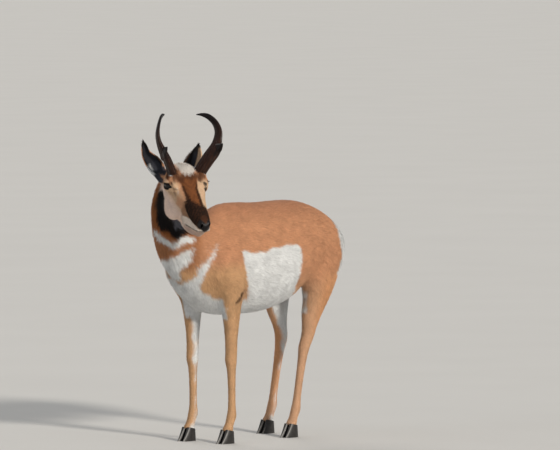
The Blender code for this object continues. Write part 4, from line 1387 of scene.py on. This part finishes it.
FINISHES = {
    # roughness, gloss, mottling (scale, lowest, highest, detail), relief (scale, depth, strength), its stretch
    "coat_hair": (0.68, 0.14, (28, 0.90, 1.08, 4), (6, 0.0006, 0.5), (1.0, 0.12, 1.0)),
    "hide_under_coat": (0.72, 0.25, (260, 0.78, 1.02, 4), (900, 0.0008, 0.7), None),
    "bare_nose_and_lid": (0.38, 0.18, (420, 0.7, 1.3, 4), (700, 0.0003, 0.5), None),
    "horn_sheath": (0.28, 0.17, (5, 0.6, 1.5, 8), (9, 0.0010, 0.55), (1.0, 1.0, 0.30)),
    "hoof_horn": (0.42, 0.5, (90, 0.6, 1.6, 6), (160, 0.0008, 0.5), (1.0, 1.0, 0.25)),
    "wet_eye": (0.08, 0.32, (700, 0.8, 1.25, 4), None, None),
}


def new_finish(name, rough, gloss=0.5):
    """A principled material, and a function that adds a node with its inputs set or linked."""
    made = bpy.data.materials.new(name)
    made.use_nodes = True
    tree = made.node_tree
    shader = tree.nodes["Principled BSDF"]
    shader.inputs["Roughness"].default_value = rough
    shader.inputs["Specular IOR Level"].default_value = gloss

    def add(kind, sockets, **settings):
        node = tree.nodes.new("ShaderNode" + kind) if isinstance(kind, str) else kind
        for name, value in settings.items():
            setattr(node, name, value)
        for socket, value in sockets.items():
            if isinstance(value, bpy.types.NodeSocket):
                tree.links.new(value, node.inputs[socket])
            else:
                node.inputs[socket].default_value = value
        return node.outputs

    return made, shader, add


def finish(name):
    """A finish whose colour is the piece's own painted layer, mottled by soft noise, over fine relief."""
    rough, gloss, (scale, low, high, detail), relief, stretch = FINISHES[name]
    made, shader, add = new_finish(name, rough, gloss)
    painted = add("Attribute", {}, attribute_name="coat")["Color"]
    if name == "horn_sheath":
        place = add("Attribute", {}, attribute_name="grain")["Vector"]
    else:
        place = add("TexCoord", {})["Object"]
    noise = add("TexNoise", {"Vector": place, "Scale": scale, "Detail": detail})["Fac"]
    level_of = add("MapRange", {"Value": noise, "From Min": 0.3, "From Max": 0.7, "To Min": low, "To Max": high})
    mottled = add("VectorMath", {0: painted, "Scale": level_of["Result"]}, operation="SCALE")["Vector"]
    add(shader, {"Base Color": mottled})
    if relief:
        scale, deep, strength = relief
        grain = add("UVMap", {}, uv_map="strand")["UV"] if name == "coat_hair" else place
        if stretch:
            grain = add("Mapping", {"Vector": grain, "Scale": stretch})["Vector"]
        if name == "bare_nose_and_lid":
            height = add("TexVoronoi", {"Vector": grain, "Scale": scale})["Distance"]
        else:
            height = add("TexNoise", {"Vector": grain, "Scale": scale, "Detail": 5.0})["Fac"]
        add(shader, {"Normal": add("Bump", {"Height": height, "Distance": deep, "Strength": strength})["Normal"]})
    return made


def floor_finish():
    made, shader, add = new_finish("pale_floor", 0.9)
    noise = add("TexNoise", {"Vector": add("TexCoord", {})["Object"], "Scale": 1.5})["Fac"]
    ramp = made.node_tree.nodes.new("ShaderNodeValToRGB")
    ramp.color_ramp.elements[0].color = (0.62, 0.61, 0.59, 1)
    ramp.color_ramp.elements[1].color = (0.66, 0.65, 0.63, 1)
    add(shader, {"Base Color": add(ramp, {"Fac": noise})["Color"]})
    return made


# The stage

def camera():
    a, e = math.radians(CAMERA_SIDE), math.radians(CAMERA_RISE)
    right = Vector((math.cos(a), math.sin(a), 0))
    back = Vector((math.sin(a) * math.cos(e), -math.cos(a) * math.cos(e), math.sin(e)))
    up = back.cross(right)
    head = Vector(HEAD_PLACE) + SHIFT
    centre = (head + right * ((WIDE / 2 - HEAD_PIXEL[0]) / PIXELS)
              - up * ((HIGH / 2 - HEAD_PIXEL[1]) / PIXELS))
    made = new_object("camera", bpy.data.cameras.new("camera"))
    made.location = centre + back * CAMERA_AWAY
    made.rotation_euler = (-back).to_track_quat("-Z", "Y").to_euler()
    made.data.sensor_width = 36
    made.data.lens = 36 * CAMERA_AWAY / (WIDE / PIXELS)
    made.data.clip_end = 400
    bpy.context.scene.camera = made
    return right, back


def stage(right, back):
    alone(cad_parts["eye_left"])
    bpy.ops.mesh.primitive_plane_add(size=260)
    floor = bpy.context.object
    floor.name = "floor"
    floor.data.materials.append(floor_finish())
    for name, aside, behind, high, strength, spread, colour in (
        ("key", 0.60, 0.80, 0.38, 2.95, 8, (1.0, 0.94, 0.85)),
        ("fill", -0.8, 0.4, 0.5, 0.25, 40, (0.86, 0.92, 1.0)),
        ("rear", -0.3, -0.9, 0.7, 0.7, 30, (1.0, 0.97, 0.92)),
    ):
        towards = right * aside + back * behind + Vector((0, 0, high))
        lamp = new_object(name, bpy.data.lights.new(name, "SUN"))
        lamp.data.energy = strength
        lamp.data.angle = math.radians(spread)
        lamp.data.color = colour
        lamp.location = towards.normalized() * 5
        lamp.rotation_euler = (-towards).to_track_quat("-Z", "Y").to_euler()
    world = bpy.data.worlds.new("studio")
    world.use_nodes = True
    sky = world.node_tree.nodes["Background"]
    sky.inputs["Color"].default_value = (0.96, 0.98, 1.0, 1)
    sky.inputs["Strength"].default_value = 0.34
    bpy.context.scene.world = world
    bpy.context.scene.view_settings.view_transform = "Standard"


# Putting it together

def rides(thing, finishes, slot, *nodes):
    """Puts a finished piece in its place in the row's frame, with its finishes and what it stands for."""
    placed(thing, HOME)
    thing.data.materials.clear()
    for made in finishes:
        thing.data.materials.append(made)
    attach(thing, "root")
    if nodes:
        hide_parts(*nodes)
    return thing


def build():
    stage(*camera())
    skin = skin_piece()
    flesh = [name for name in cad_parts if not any(kind in name for kind in ("horn", "hoof", "eye"))]
    tufts = coat(skin)
    coloured(skin, markings(above(places_of(skin), normals_of(skin))) * 0.92)
    alone(skin)
    bpy.ops.object.shade_smooth()
    uncovered = bare(three_each(skin.data.polygons, "center")).astype(np.int32)
    rides(skin, (finish("hide_under_coat"), finish("bare_nose_and_lid")), "hide", *flesh)
    skin.data.polygons.foreach_set("material_index", uncovered)
    hair, horny, hoofed, wet = ([finish(name)] for name in ("coat_hair", "horn_sheath", "hoof_horn", "wet_eye"))
    for piece in tufts:
        rides(piece, hair, "hide")
    for side, way in SIDES:
        rides(horn(side, way), horny, "horn", "horn_" + side)
        rides(eye(side, way), wet, "eye", "eye_" + side)
        rides(lashes(side, way), hair, "hide")
    for leg, rows in legs().items():
        kind, side = leg.split("_")
        made = hoof(f"claws_{kind}_{side}", rows)
        coloured(made, plain(made.data.vertices, (0.016, 0.014, 0.013)))
        alone(made)
        bpy.ops.object.shade_smooth_by_angle(angle=math.radians(40))
        rides(made, hoofed, "hoof", f"{kind}_hoof_{side}")


build()
